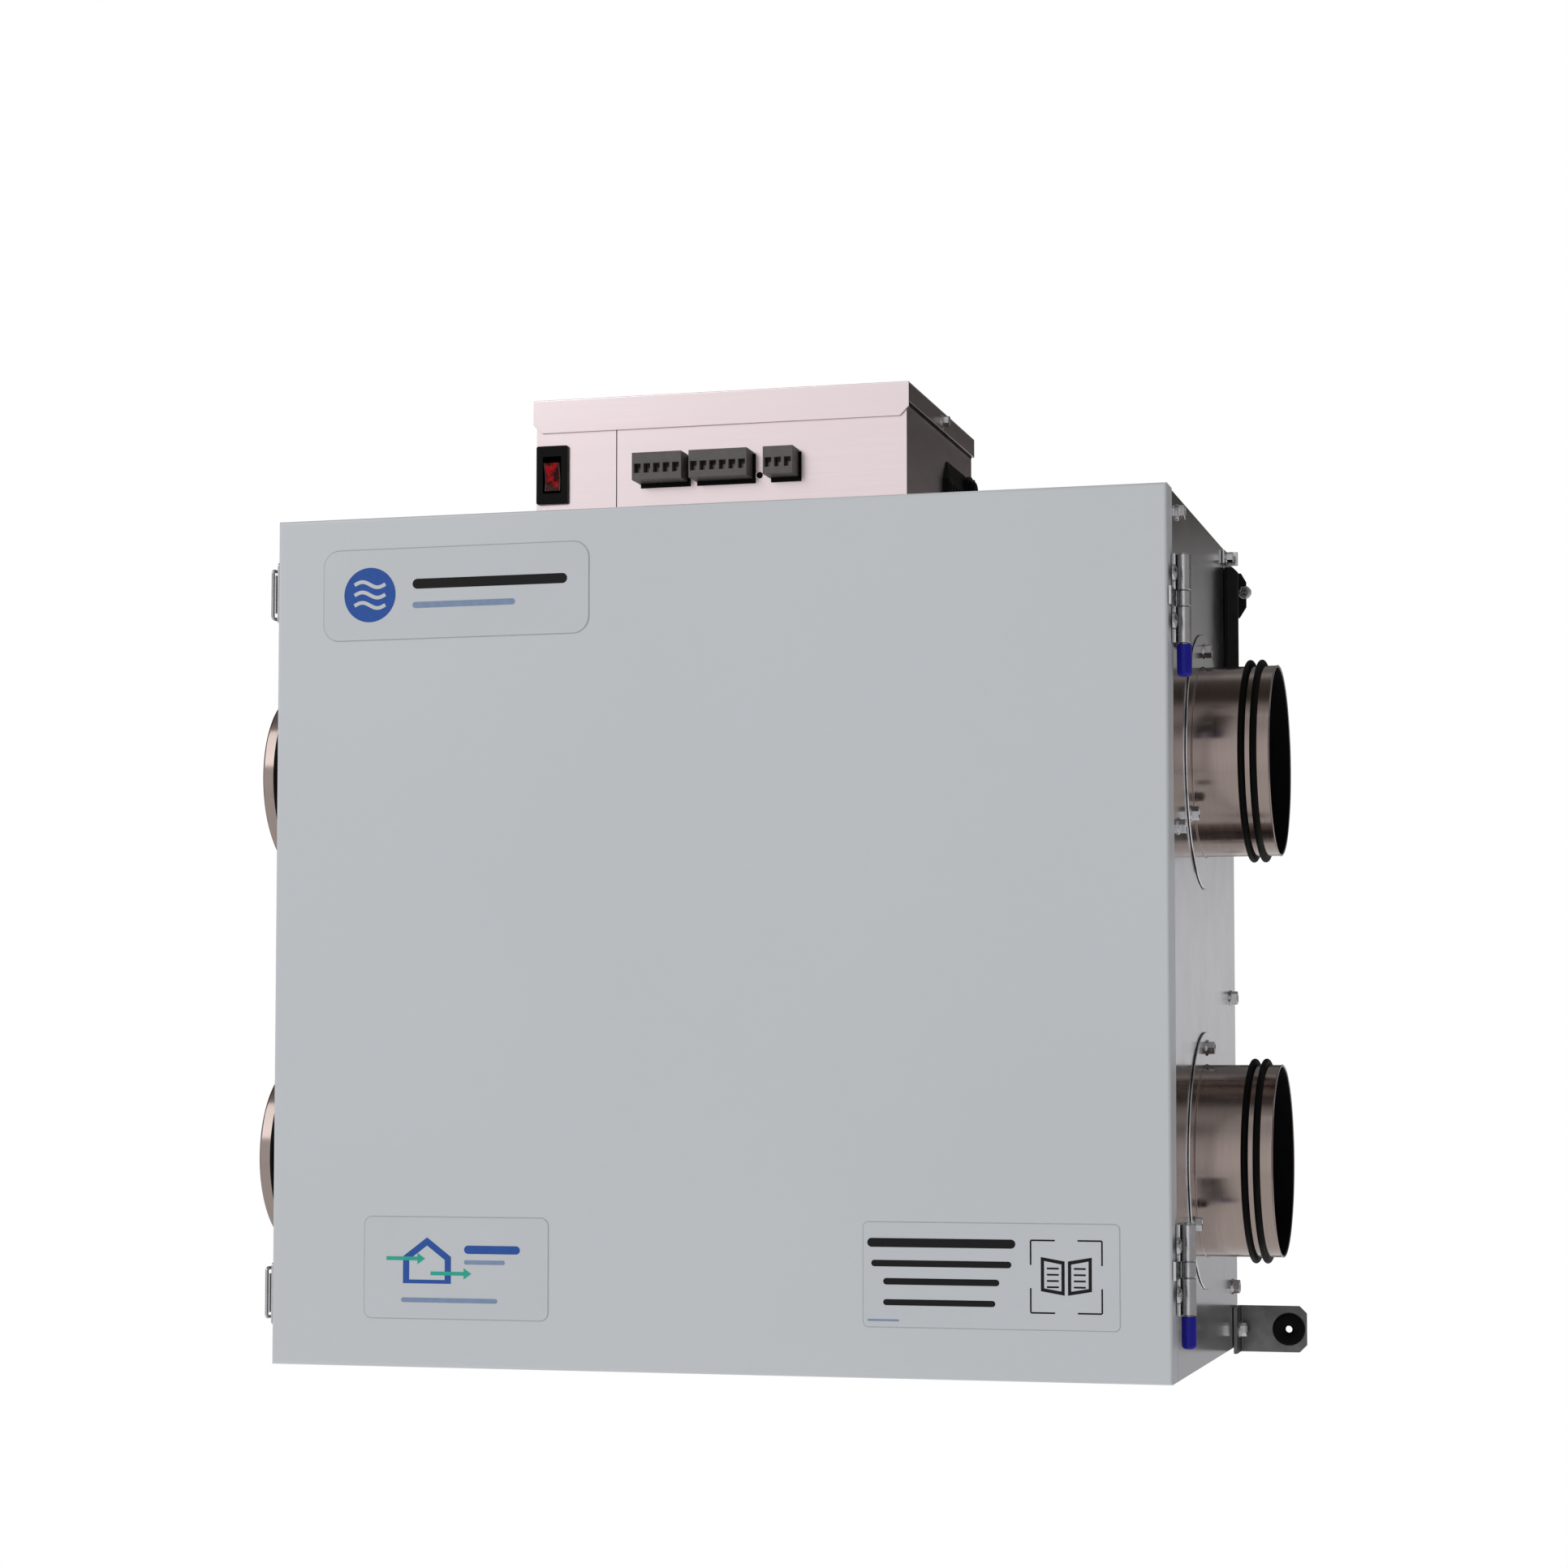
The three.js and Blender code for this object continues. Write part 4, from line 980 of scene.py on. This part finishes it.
def collar_outlines():
    """(distance from the case, radius) outlines of a collar's parts, each with its material."""
    tube_r, flange_r, rim = 49.2, 66.25, 40
    inside = tube_r - 0.8
    flange = [
        (0.3, tube_r - 0.4), (0.3, flange_r - 0.2), (0.5, flange_r), (0.8, flange_r), (1.0, flange_r - 0.2),
        (1.0, tube_r - 0.4),
    ]
    spigot = [
        (0.3, inside), (0.3, tube_r + 0.6), (1.1, tube_r + 0.6), (1.3, tube_r + 0.2), (1.7, tube_r),
        (rim - 0.9, tube_r), (rim - 0.35, tube_r + 0.25), (rim, tube_r), (rim, inside + 0.2),
        (rim - 0.3, inside),
    ]
    # A black sleeve, in the rubber material, lines the bore and makes the inside of the tube dark.
    dark_sleeve = rect((0.4, inside + 0.1), (rim - 0.6, inside - 0.4))
    return [(flange, "galvanised"), (spigot, "collar_steel"), (dark_sleeve, "rubber")]


def seal_lip(place):
    """The (distance, radius) outline of one lip of a collar's seal: a foot on the tube with a bead on it."""
    foot = 49.1
    side = [(1.9, foot), (1.7, foot + 0.5), (1.35, foot + 1.1)]
    bead = [(-1.3 * math.cos(math.pi * i / 8), 51.2 + 1.3 * math.sin(math.pi * i / 8)) for i in range(9)]
    return placed([*[(-a, b) for a, b in side], *bead, *side[::-1]], (place, 0))


def collars():
    random.seed(11)
    for (level, name), middle in PORTS.items():
        side = SIDES[name]
        centre = middle[1:]
        wall = (outward(side, 0), 0)
        shell = Piece(f"collar_{level}_{name}", "case", "collar_steel")
        for profile, material in collar_outlines():
            shell.take(lathe("x", centre, placed(profile, wall, side), 128), material)
        shell.done(f"duct_collar_{level}_{name}")

        seal = Piece(f"seal_{level}_{name}", "case", "rubber")
        for place in (25.8, 31.8):
            seal.take(lathe("x", centre, placed(seal_lip(place), wall, side), 128))
        seal.done(f"collar_seal_{level}_{name}")

        screws = Piece(f"collar_screws_{level}_{name}", "case", "zinc_steel")
        for angle, ring in ((90, 58), (-30, 61), (210, 61)):
            turn = math.radians(angle)
            spot = (outward(side, 1.0), centre[0] + ring * math.cos(turn), centre[1] + ring * math.sin(turn))
            hex_screw(screws, spot, (side, 0, 0))
        screws.done()


# ---------- control box ----------


STATUS_LIGHT = (22.6, HEIGHT + 17)


def control_box():
    low, high = node_box("control_box_body")
    lid_low, lid_high = node_box("control_box_lid")
    skin = 1.0
    body = Piece("control_box", "case", "box_steel")
    front = low[1]
    switch_hole = rect((-94.9, HEIGHT + 8.3), (-81.1, HEIGHT + 35.4))
    right_holes = [circle(*STATUS_LIGHT, 1.65, 20)]
    for x0, x1 in ((-41.2, -15.9), (-11.1, 18.6), (28.0, 42.6)):
        right_holes.append(rect((x0, HEIGHT + 16.8), (x1, HEIGHT + 27.9)))
    seam, gap = -53.6, 0.22
    for x0, x1, holes in (
        (low[0], seam - gap, [switch_hole]),
        (seam + gap, high[0], right_holes),
    ):
        body.take(plate("y", rect((x0, low[2]), (x1, high[2])), (front, front + skin), 0.15, holes))
    joint = ((seam - 6, front + skin + 0.02, low[2] + 1), (seam + 6, front + skin + 0.9, high[2]))
    body.take(box(*joint, 0.1), "core_frame")
    body.take(plate("y", rect((low[0], low[2]), (high[0], high[2])), (high[1] - skin, high[1])))
    side_outline = rect((front + skin, low[2]), (high[1] - skin, high[2]))
    gland = node_middle("cable_gland")
    for x0, x1, cut in (
        (low[0], low[0] + skin, ()),
        (high[0] - skin, high[0], [circle(gland[1], gland[2], 7.9, 32)]),
    ):
        body.take(plate("x", side_outline, (x0, x1), 0.15, cut))
    base = ((low[0] + skin, front + skin, low[2]), (high[0] - skin, high[1] - skin, low[2] + skin))
    body.take(box(*base, 0.1))
    body.done("control_box_body")

    lid = Piece("control_box_cover", "case", "box_steel")
    top = lid_high[2]
    flange, cheek, chamfer, thick = 17.2, 10.2, 4.6, 1.0
    lid.take(box((lid_low[0], lid_low[1], top - 1), (lid_high[0], lid_high[1], top), 0.45, 3))
    front_flange = [
        (lid_low[0], top - 0.5), (lid_high[0], top - 0.5), (lid_high[0], top - flange + chamfer),
        (lid_high[0] - chamfer, top - flange), (lid_low[0] + chamfer, top - flange),
        (lid_low[0], top - flange + chamfer),
    ]
    lid.take(plate("y", front_flange, (lid_low[1], lid_low[1] + thick), 0.2))
    rear = rect((lid_low[0], top - 0.5), (lid_high[0], top - cheek))
    lid.take(plate("y", rear, (lid_high[1] - thick, lid_high[1]), 0.2))
    side = rect((lid_low[1] + 0.8, top - 0.5), (lid_high[1] - 0.8, top - cheek))
    for edge, wall, way in ((lid_low[0], low[0], -1), (lid_high[0], high[0], 1)):
        lid.take(plate("x", side, sorted((edge, edge - way * thick)), 0.2))
        hex_screw(lid, (edge, 96, top - 6.1), (way, 0, 0), 5.5, 7.4)
        # A thin black strip under each lid cheek, in the rubber material, paints the shadow line in the gap
        # between lid and box.
        shadow_strip_low = (wall + way * 0.05, lid_low[1] + 3, top - cheek - 1.1)
        shadow_strip_high = (wall + way * 0.35, lid_high[1] - 3, top - cheek + 1)
        lid.take(box(shadow_strip_low, shadow_strip_high, 0.1), "rubber")
    lid.done("control_box_lid")

    light = Piece("status_light", "case", "switch_plastic")
    light.take(rod("y", STATUS_LIGHT, 1.5, (front + 0.3, front + 6), 0.6, 20))
    light.done()


def power_switch():
    low, high = node_box("switch_housing")
    x, z = (low[0] + high[0]) / 2, (low[2] + high[2]) / 2
    front = low[1]
    wall = front + 1.7
    housing = Piece("switch_frame", "case", "switch_plastic")
    outline = rounded((low[0], low[2]), (high[0], high[2]), 1.0, 4)
    window = rounded((x - 5, z - 9.6), (x + 5, z + 9.6), 0.6, 4)
    housing.take(plate("y", outline, (front, wall), 0.45, [window], 3))
    sleeve = rect((low[0] + 2, low[2] + 2), (high[0] - 2, high[2] - 2))
    housing.take(plate("y", sleeve, (wall - 0.2, high[1] - 3), 0.2, [window]))
    housing.take(box((low[0] + 2, high[1] - 4, low[2] + 2), (high[0] - 2, high[1], high[2] - 2), 0.2))
    housing.done("switch_housing")

    rocker = Piece("rocker", "power_rocker", "rocker_red")
    pivot_y, tilt = 24, math.radians(8)
    reach = pivot_y - front
    half_height, sag, steps = 7.3, 1.4, 12
    profile = []
    for i in range(steps + 1):
        up = half_height * (2 * i / steps - 1)
        profile.append((-reach - 0.4 + sag * (1 - (up / half_height) ** 2), up))
    profile += [(0, 5.8), (2.5, 0), (0, -5.8)]

    def turned(points):
        c, s = math.cos(tilt), math.sin(tilt)
        return [(pivot_y + back * c - up * s, z + back * s + up * c) for back, up in points]

    rocker.take(plate("x", turned(profile), (x - 3.4, x + 3.4), 0.25))
    for x0, x1 in ((x - 4.2, x - 3.4), (x + 3.4, x + 4.2)):
        rocker.take(plate("x", turned(profile), (x0, x1), 0.2), "rocker_edge")
    rocker.done("power_rocker")


def terminals():
    pitch = 5.08
    for letter, poles in (("a", 5), ("b", 6), ("c", 3)):
        name = f"terminal_plug_{letter}"
        low, high = node_box(name)
        back = CASE_FRONT - 0.5
        plug = Piece(f"plug_{letter}", name, "terminal_plastic")
        face = low[1]
        first = (low[0] + high[0]) / 2 - (poles - 1) * pitch / 2
        deck = high[2] - 1.4
        outline = rect((low[0], low[2]), (high[0], deck + 0.1))
        top = rect((low[0], face), (high[0], back))
        entry = (low[2] + 3.6, low[2] + 8.4)
        screw_y = face + 4.2
        spots = [first + i * pitch for i in range(poles)]
        entries = [rect((x - 1.75, entry[0]), (x + 1.75, entry[1])) for x in spots]
        screws = [circle(x, screw_y, 1.65, 20) for x in spots]
        plug.take(plate("y", outline, (face, face + 6), 0.18, entries))
        plug.take(plate("z", top, (deck, high[2]), 0.18, screws))
        plug.take(box((low[0], face + 5.9, low[2]), (high[0], back, deck + 0.1), 0.3))
        tongue = ((low[0] + 1.6, back - 1, low[2] + 3), (high[0] - 1.6, high[1], high[2] - 3))
        plug.take(box(*tongue, 0.2))
        shade = ((low[0] + 0.6, face + 0.5, deck - 0.9), (high[0] - 0.6, back - 0.5, deck - 0.3))
        plug.take(box(*shade, 0.1), "switch_plastic")
        for i, x in enumerate(spots):
            plug.take(rod("z", (x, screw_y), 1.5, (deck - 0.4, deck + 0.6), 0.2, 20), "contact_metal")
            # A black bar across each screw's top paints the shade in its slot.
            slot_shade = ((x - 1.2, screw_y - 0.25, deck + 0.5), (x + 1.2, screw_y + 0.25, deck + 0.66))
            plug.take(box(*slot_shade, 0), "switch_plastic")
            contact = ((x - 1.5, face + 4.8, entry[0] + 0.1), (x + 1.5, face + 5.8, entry[1] - 1.6))
            plug.take(box(*contact, 0.1), "contact_metal")
            if i:
                groove = x - pitch / 2
                rib = ((groove - 0.25, face + 0.2, low[2]), (groove + 0.25, face + 4, low[2] + 0.5))
                plug.take(box(*rib, 0.1))
        plug.done(name)

        # A black rim round each plug. It shows only to the right of and below the plug, so it stands partly
        # for the header and partly as the plug's painted shadow.
        header_with_shadow = Piece(f"header_rim_and_shadow_{letter}", "case", "switch_plastic")
        rim = rect((low[0] + 1.2, low[2] - 2.4), (high[0] + 1.6, high[2] - 1.2))
        opening = rect((low[0] + 1.3, low[2] + 2.7), (high[0] - 1.3, high[2] - 2.7))
        header_with_shadow.take(plate("y", rim, (CASE_FRONT - 0.45, CASE_FRONT - 0.25), 0.1, [opening]))
        header_with_shadow.done()


def gland():
    """A black ribbed wedge on the box's side round the gland, and the gland's nut and rubber through it."""
    low, high = node_box("cable_gland")
    centre = node_middle("cable_gland")[1:]
    wall = high[0] - 7
    piece = Piece("gland_body", "case", "switch_plastic")
    sections = []
    for up, out, front, rear in ((3, 3.4, 100, 178), (27, 3.1, 104, 178), (37, 0.8, 112, 177)):
        inset = out * 0.7
        corners = [(wall, front), (wall, rear), (wall + out, rear - inset), (wall + out, front + inset)]
        sections.append([at(x, y, HEIGHT + up) for x, y in corners])
    black_wedge = skin(sections, capped=True)
    soften(black_wedge, 0.5, 3, 25)
    piece.take(black_wedge)
    rib = placed([(3, 5), (4, 5), (3.6, 25), (2.8, 25)], (wall, HEIGHT))
    for y in (110, 117, 124, 131, 138):
        piece.take(plate("y", rib, (y - 0.8, y + 0.8), 0.25))
    disc = placed([(0.3, 0), (0.3, 9.6), (3.8, 9.6), (4.2, 9.2), (4.2, 0)], (wall, 0))
    piece.take(lathe("x", centre, disc, 48, closed=False))
    piece.take(plate("x", circle(*centre, 8.6, 6, math.radians(15)), (wall + 4, wall + 5.6), 0.4))
    dome = [(5.4, 0), (5.4, 7.2), (6, 6.9), (6.7, 6), (7, 4.6), (7, 2.6), (5.8, 2.2), (5.8, 0)]
    piece.take(lathe("x", centre, placed(dome, (wall, 0)), 40, closed=False), "rubber")
    piece.take(plate("x", circle(*centre, 9.9, 6), (wall - 6, wall - 1.3), 0.4))
    piece.take(rod("x", centre, 7.4, (low[0], wall + 1)))
    piece.done("cable_gland")


# ---------- wall fixings ----------


def wall_fixings():
    random.seed(23)
    for name, side in SIDES.items():
        def x(out):
            return outward(side, out)

        z0, z1 = [corner[2] for corner in node_box(f"wall_bracket_{name}")]
        grommet = node_middle(f"bracket_grommet_{name}")
        hole = (grommet[0], grommet[2])
        arm = placed([(1.5, z0), (34, z0), (38, z0 + 4), (38, z1 - 4), (34, z1), (1.5, z1)], (x(0), 0), side)
        bracket = Piece(f"bracket_{name}", "case", "bracket_steel")
        bracket.take(plate("y", arm, (DEPTH - 2, DEPTH), 0.3, [circle(*hole, 6.4, 40)]))
        bend = [(0.3, -20), (2.3, -20), (2.3, -2.6), (2.6, -2.1), (3.2, -2), (3.2, 0), (1.6, 0), (0.8, -0.4),
                (0.3, -1.2)]
        bracket.take(plate("z", placed(bend, (x(0), DEPTH), side), (z0, z1), 0.2))
        hex_screw(bracket, (x(2.3), DEPTH - 11, 9.6), (side, 0, 0), washer=8.8)
        bracket.done(f"wall_bracket_{name}")

        ring = Piece(f"grommet_{name}", "case", "rubber")
        bulge = [(0, 8.5), (-0.5, 8.8), (-1.4, 8.8), (-2.1, 8.3), (-2.35, 7.2), (-2.3, 5), (-1.9, 3.4),
                 (-1.3, 2.4), (-0.8, 1.9), (2.1, 1.9), (2.1, 6.1), (0, 6.1)]
        ring.take(lathe("y", hole, placed(bulge, (DEPTH - 2.1, 0))))
        ring.done(f"bracket_grommet_{name}")

        low, high = node_box(f"hanger_strap_{name}")
        y, bottom, top = low[1], low[2], high[2]
        hanger = Piece(f"hanger_{name}", "case", "black_steel")
        blade = [(0.8, bottom), (7.6, bottom), (7.6, top - 3), (4.6, top), (0.8, top)]
        hanger.take(plate("y", placed(blade, (x(0), 0), side), (y, y + 2.5)))
        hanger.take(box((x(0.3), y, bottom), (x(1.8), y + 18, top)))
        for z in (bottom + 16, top - 30):
            pan_screw(hanger, (x(1.8), y + 11, z), (side, 0, 0), 3.2, 1.5, "black_steel")
        hanger.done(f"hanger_strap_{name}")

        clip = Piece(f"hanger_clip_{name}", "case", "zinc_steel")
        clip.take(box((x(0.3), y - 8, HEIGHT - 9), (x(1.5), y + 4, HEIGHT - 1.5), 0.25))
        clip.take(box((x(0.8), y + 2.8, HEIGHT - 9), (x(7.3), y + 4, HEIGHT - 1.5), 0.25))
        hex_screw(clip, (x(1.5), y - 3, HEIGHT - 5.2), (side, 0, 0), 5, 6.4)
        clip.done()

        tail = Piece(f"hanger_plate_{name}", "case", "black_steel")
        shape = [(0.4, -34), (4.4, -34), (8.2, -28), (8.2, -14), (5.4, -9), (0.4, -9)]
        tail.take(plate("y", placed(shape, (x(0), HEIGHT), side), (DEPTH - 2.4, DEPTH - 0.4), 0.25))
        matrix = facing((0, -1, 0), (x(7.6), DEPTH - 2.4, HEIGHT - 20))
        tail.take(head([(0, 3.6), (0.6, 3.6), (0.9, 3.2), (0.9, 0)]), "zinc_steel", matrix)
        tail.take(hex_prism(6, 0.8, 4.2, 0.6), "zinc_steel", matrix)
        tail.done()


# ---------- inside ----------


def core_and_filters():
    low, high = node_box("heat_exchanger_core")
    front, back = low[1], high[1]
    centre_z = (low[2] + high[2]) / 2
    half = (high[2] - low[2]) / 2 / math.sqrt(2)

    def turned(points, side=1):
        """Points on the core's own axes, turned 45 degrees to stand on its edge."""
        return [(side * (a - b) / math.sqrt(2), centre_z + (a + b) / math.sqrt(2)) for a, b in points]

    def square(inset):
        reach = half - inset
        return turned(rect((-reach, -reach), (reach, reach)))

    core = Piece("core_block", "case", "core_plastic")
    plates, cap = 24, 6
    pitch = (back - front - 2 * cap) / plates
    for i in range(plates):
        y = front + cap + pitch * i
        core.take(plate("y", square(3.2), (y, y + pitch * 0.52), 0))
    core.take(plate("y", square(5), (front + 5, back - 5), 0))
    for ys in ((front + 0.6, front + cap), (back - cap, back - 0.6)):
        core.take(plate("y", square(0), ys, 0.8))
    angle = [(0, 0), (-8, 0), (-8, -2), (-2, -2), (-2, -8), (0, -8)]
    for a in (-1, 1):
        for b in (-1, 1):
            corner = [(a * (half + da), b * (half + db)) for da, db in angle]
            core.take(plate("y", turned(corner), (front + 0.3, back - 0.3)), "core_frame")
    handle = rounded((-34, centre_z - 5), (34, centre_z + 5), 4.9, 8)
    core.take(plate("y", handle, (front, front + 0.8), 0.2), "core_frame")
    core.done("heat_exchanger_core")

    near, thick, wide, folds = half + 1, 10, 68, 15
    for name, side in SIDES.items():
        pad = Piece(f"filter_pad_{name}", "case", "filter_media")
        pleats = []
        for i in range(folds + 1):
            pleats.append((near + (2.2 if i % 2 else thick - 1.2), -wide + 4 + (2 * wide - 8) * i / folds))
        pad.take(plate("y", turned(stroke(pleats, 1.2), side), (front + 3, back - 3), 0.1))
        end = (-wide + 3.8, wide - 3.8)
        for across, ys in (
            ((-wide, -wide + 4), (front, back)),
            ((wide - 4, wide), (front, back)),
            (end, (front, front + 3)),
            (end, (back - 3, back)),
        ):
            bar = rect((near, across[0]), (near + thick, across[1]))
            pad.take(plate("y", turned(bar, side), ys, 0.5), "core_frame")
        pad.done(f"filter_{name}")


def fan_wheel(name, side, centre):
    """The wheel: a dished disc, an inlet ring and backward-curved blades between them."""
    low, high = node_box(f"fan_impeller_{name}")
    inner = low[0] if side > 0 else high[0]
    length = high[0] - low[0]
    wheel = Piece(f"impeller_{name}", f"impeller_{name}", "fan_plastic")
    disc = [(length, 3.6), (length, 51), (length - 0.6, 52), (length - 1.6, 52), (length - 2, 51),
            (length - 2, 22), (length - 6, 20.5), (16, 19), (14, 17), (14, 3.6)]
    shroud = [(0, 37.4), (0.5, 37), (1.6, 38.5), (3.4, 44), (4.4, 51.6), (3.4, 52), (2.2, 46), (0.5, 39)]
    for profile in (disc, shroud):
        wheel.take(lathe("x", centre, placed(profile, (inner, 0), side), 96))
    blades, steps = 11, 8
    span = sorted((inner + side * 3.6, inner + side * (length - 1)))
    for i in range(blades):
        spine = []
        for k in range(steps + 1):
            t = k / steps
            radius = 27 + 24.6 * t
            angle = 2 * math.pi * i / blades - 0.75 * t ** 1.2
            spine.append((centre[0] + radius * math.cos(angle), centre[1] + radius * math.sin(angle)))
        wheel.take(plate("x", stroke(spine, 1.6), span))
    wheel.done(f"fan_impeller_{name}")


def fans():
    for name, side in SIDES.items():
        centre = node_middle(f"fan_impeller_{name}")[1:]
        fan_wheel(name, side, centre)

        low, high = node_box(f"fan_plate_{name}")
        base = low[0] if side > 0 else high[0]
        face = base + side * 2
        sheet = Piece(f"fan_panel_{name}", "case", "fan_steel")
        outline = rect(low[1:], high[1:])
        sheet.take(plate("x", outline, sorted((base, face)), 0.3, [circle(*centre, 38, 72)]))
        bell = [(0, 38.4), (0, 38.2), (2.5, 36.6), (5.4, 36.1), (5.4, 36.8), (2.8, 37.6), (2.1, 38.4)]
        sheet.take(lathe("x", centre, placed(bell, (base, 0), side), 96))
        for dy in (-95, 95):
            for dz in (-64, 76):
                pan_screw(sheet, (face, centre[0] + dy, centre[1] + dz), (side, 0, 0), 3.2, 1.6)
        sheet.done(f"fan_plate_{name}")

        low, high = node_box(f"fan_motor_{name}")
        far = high[0] if side > 0 else low[0]
        motor = Piece(f"motor_{name}", "case", "black_steel")
        can = [(29, 0), (29, 24.5), (28, 26.6), (26, 27), (8, 27), (6, 26), (5.6, 19), (2, 17), (2, 0)]
        motor.take(lathe("x", centre, placed(can, (far, 0), -side), closed=False))
        motor.take(rod("x", centre, 3, (far - side * 55, far - side * 28), 0.4, 24), "zinc_steel")
        y0, y1 = centre[0] - 9, centre[0] + 9
        motor.take(box((far - side * 2, y0, low[2]), (far, y1, high[2]), 0.6), "fan_steel")
        for zs in ((low[2], low[2] + 2), (high[2] - 2, high[2])):
            motor.take(box((face + side * 0.3, y0, zs[0]), (far, y1, zs[1]), 0.5), "fan_steel")
        for dz in (-36, 36):
            pan_screw(motor, (far, centre[0], centre[1] + dz), (side, 0, 0), 3.4, 1.7)
        motor.done(f"fan_motor_{name}")


def condensate_tray():
    low, high = node_box("condensate_pan")
    wall, rim = 2.5, 18.7
    piece = Piece("drip_tray", "case", "pan_plastic")
    inside = rect((low[0] + wall, low[1] + wall), (high[0] - wall, high[1] - wall))
    piece.take(plate("z", rect(low[:2], high[:2]), (low[2], low[2] + rim), 0.4, [inside]))
    piece.take(box((low[0] + 1, low[1] + 1, low[2]), (high[0] - 1, high[1] - 1, low[2] + wall), 0.2))
    piece.take(box((-6, low[1], low[2]), (6, high[1], high[2]), 0.8))
    for i in range(1, 6):
        y = low[1] + (high[1] - low[1]) * i / 6
        for x0, x1 in ((-11, -5.5), (5.5, 11)):
            piece.take(box((x0, y - 1, low[2] + 2), (x1, y + 1, high[2] - 12), 0.4))
    piece.done("condensate_pan")


def plain_nodes():
    """CAD nodes shown as they are, in their own material."""
    for node in ("liner_back", "liner_top", "liner_left", "liner_right"):
        dress(node, "foam")
    dress("control_board", "circuit_board")
    dress("transformer", "transformer_steel")


# ---------- assembly ----------

case_panels()
case_screws()
door_panel()
badge()
series_label()
guide_label()
hinges()
latches()
collars()
control_box()
power_switch()
terminals()
gland()
wall_fixings()
core_and_filters()
fans()
condensate_tray()
plain_nodes()
